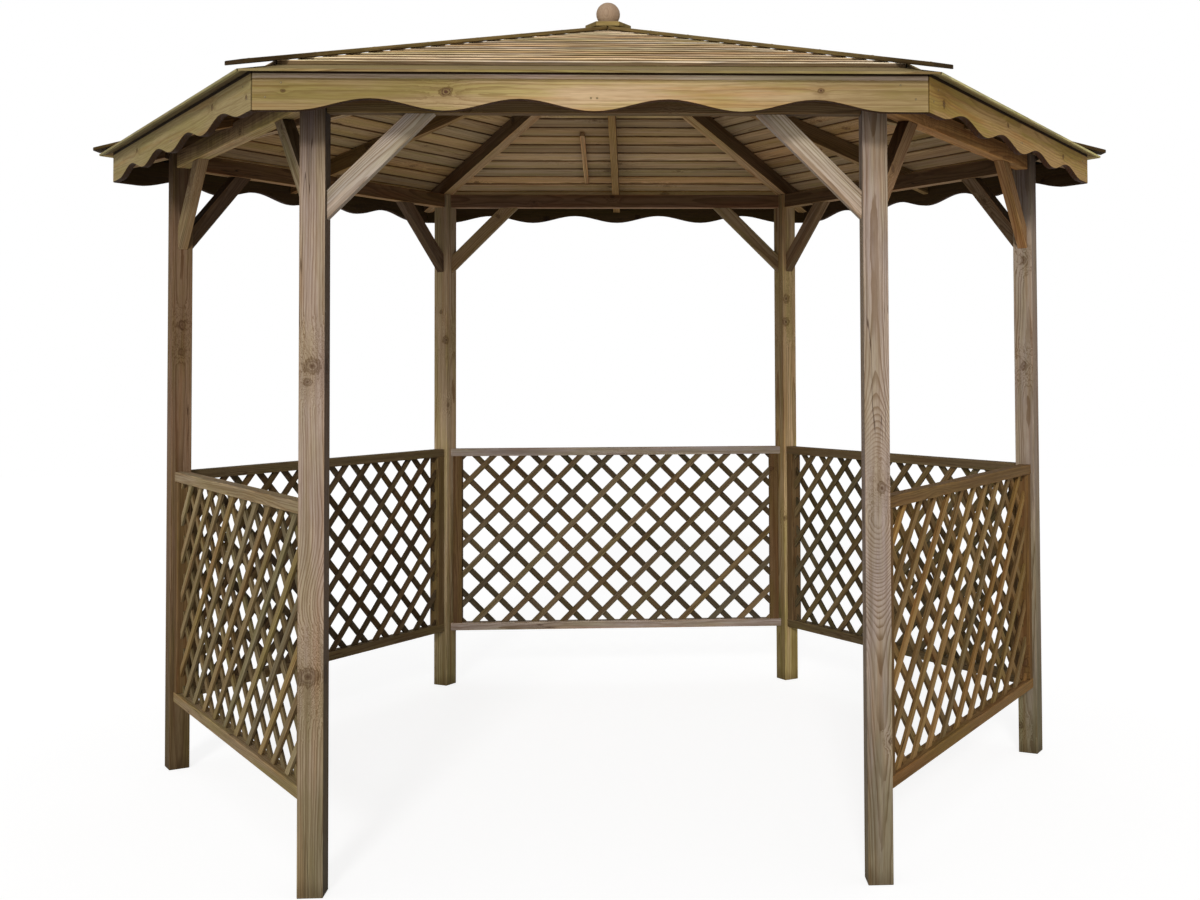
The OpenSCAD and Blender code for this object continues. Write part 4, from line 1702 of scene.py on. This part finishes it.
class PAVILION_OT_rafters(bpy.types.Operator):
    """Work the rafters, the loose batten and the peak block"""

    bl_idname = "pavilion.rafters"
    bl_label = "Rafters"

    def execute(self, context):
        make_rafters()
        return {"FINISHED"}


class PAVILION_OT_fascias(bpy.types.Operator):
    """Work the scalloped fascia boards"""

    bl_idname = "pavilion.fascias"
    bl_label = "Fascias"

    def execute(self, context):
        make_fascias()
        return {"FINISHED"}


class PAVILION_OT_trellis(bpy.types.Operator):
    """Make the trellis panels"""

    bl_idname = "pavilion.trellis"
    bl_label = "Trellis"

    def execute(self, context):
        make_trellis()
        return {"FINISHED"}


class PAVILION_OT_roof(bpy.types.Operator):
    """Lay the lapped roof boards"""

    bl_idname = "pavilion.roof"
    bl_label = "Roof Boards"

    def execute(self, context):
        make_roof()
        return {"FINISHED"}


class PAVILION_OT_caps(bpy.types.Operator):
    """Work the hip strips and the peak plate"""

    bl_idname = "pavilion.caps"
    bl_label = "Hip Strips and Plate"

    def execute(self, context):
        make_caps()
        return {"FINISHED"}


class PAVILION_OT_ball(bpy.types.Operator):
    """Turn the finial ball"""

    bl_idname = "pavilion.ball"
    bl_label = "Finial Ball"

    def execute(self, context):
        make_ball()
        return {"FINISHED"}


class PAVILION_OT_fixings(bpy.types.Operator):
    """Set the screws, nails and pins"""

    bl_idname = "pavilion.fixings"
    bl_label = "Fixings"

    def execute(self, context):
        make_fixings()
        return {"FINISHED"}


class PAVILION_OT_studio(bpy.types.Operator):
    """Set up the floor, the light and the camera"""

    bl_idname = "pavilion.studio"
    bl_label = "Studio"

    def execute(self, context):
        make_studio()
        return {"FINISHED"}


class PAVILION_PT_panel(bpy.types.Panel):
    """Lists the makers and their settings"""

    bl_label = "Garden Pavilion"
    bl_space_type = "VIEW_3D"
    bl_region_type = "UI"
    bl_category = "Pavilion"

    def draw(self, context):
        for maker in MAKERS:
            self.layout.operator(maker.bl_idname)
        for name, group in SETTINGS.items():
            box = self.layout.box()
            box.label(text=group.__doc__)
            for setting in group.__annotations__:
                box.prop(getattr(context.scene, name), setting)


MAKERS = [
    PAVILION_OT_posts,
    PAVILION_OT_beams,
    PAVILION_OT_rafters,
    PAVILION_OT_fascias,
    PAVILION_OT_trellis,
    PAVILION_OT_roof,
    PAVILION_OT_caps,
    PAVILION_OT_ball,
    PAVILION_OT_fixings,
    PAVILION_OT_studio,
]
SETTINGS = {
    "pavilion_timber": PavilionTimber,
    "pavilion_trellis": PavilionTrellis,
    "pavilion_roof": PavilionRoof,
    "pavilion_fixings": PavilionFixings,
    "pavilion_finish": PavilionFinish,
    "pavilion_studio": PavilionStudio,
}


def register():
    for kind in [*SETTINGS.values(), *MAKERS, PAVILION_PT_panel]:
        bpy.utils.register_class(kind)
    for name, group in SETTINGS.items():
        setattr(bpy.types.Scene, name, bpy.props.PointerProperty(type=group))


def unregister():
    for name in SETTINGS:
        delattr(bpy.types.Scene, name)
    for kind in reversed([*SETTINGS.values(), *MAKERS, PAVILION_PT_panel]):
        bpy.utils.unregister_class(kind)


def main():
    """Makes every piece in order and works out both boxes."""
    register()
    for maker in MAKERS:
        group, name = maker.bl_idname.split(".")
        getattr(getattr(bpy.ops, group), name)()
    boxes = {"cad": CAD_BOX, "visual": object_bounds()}


if __name__ == "__main__":
    main()
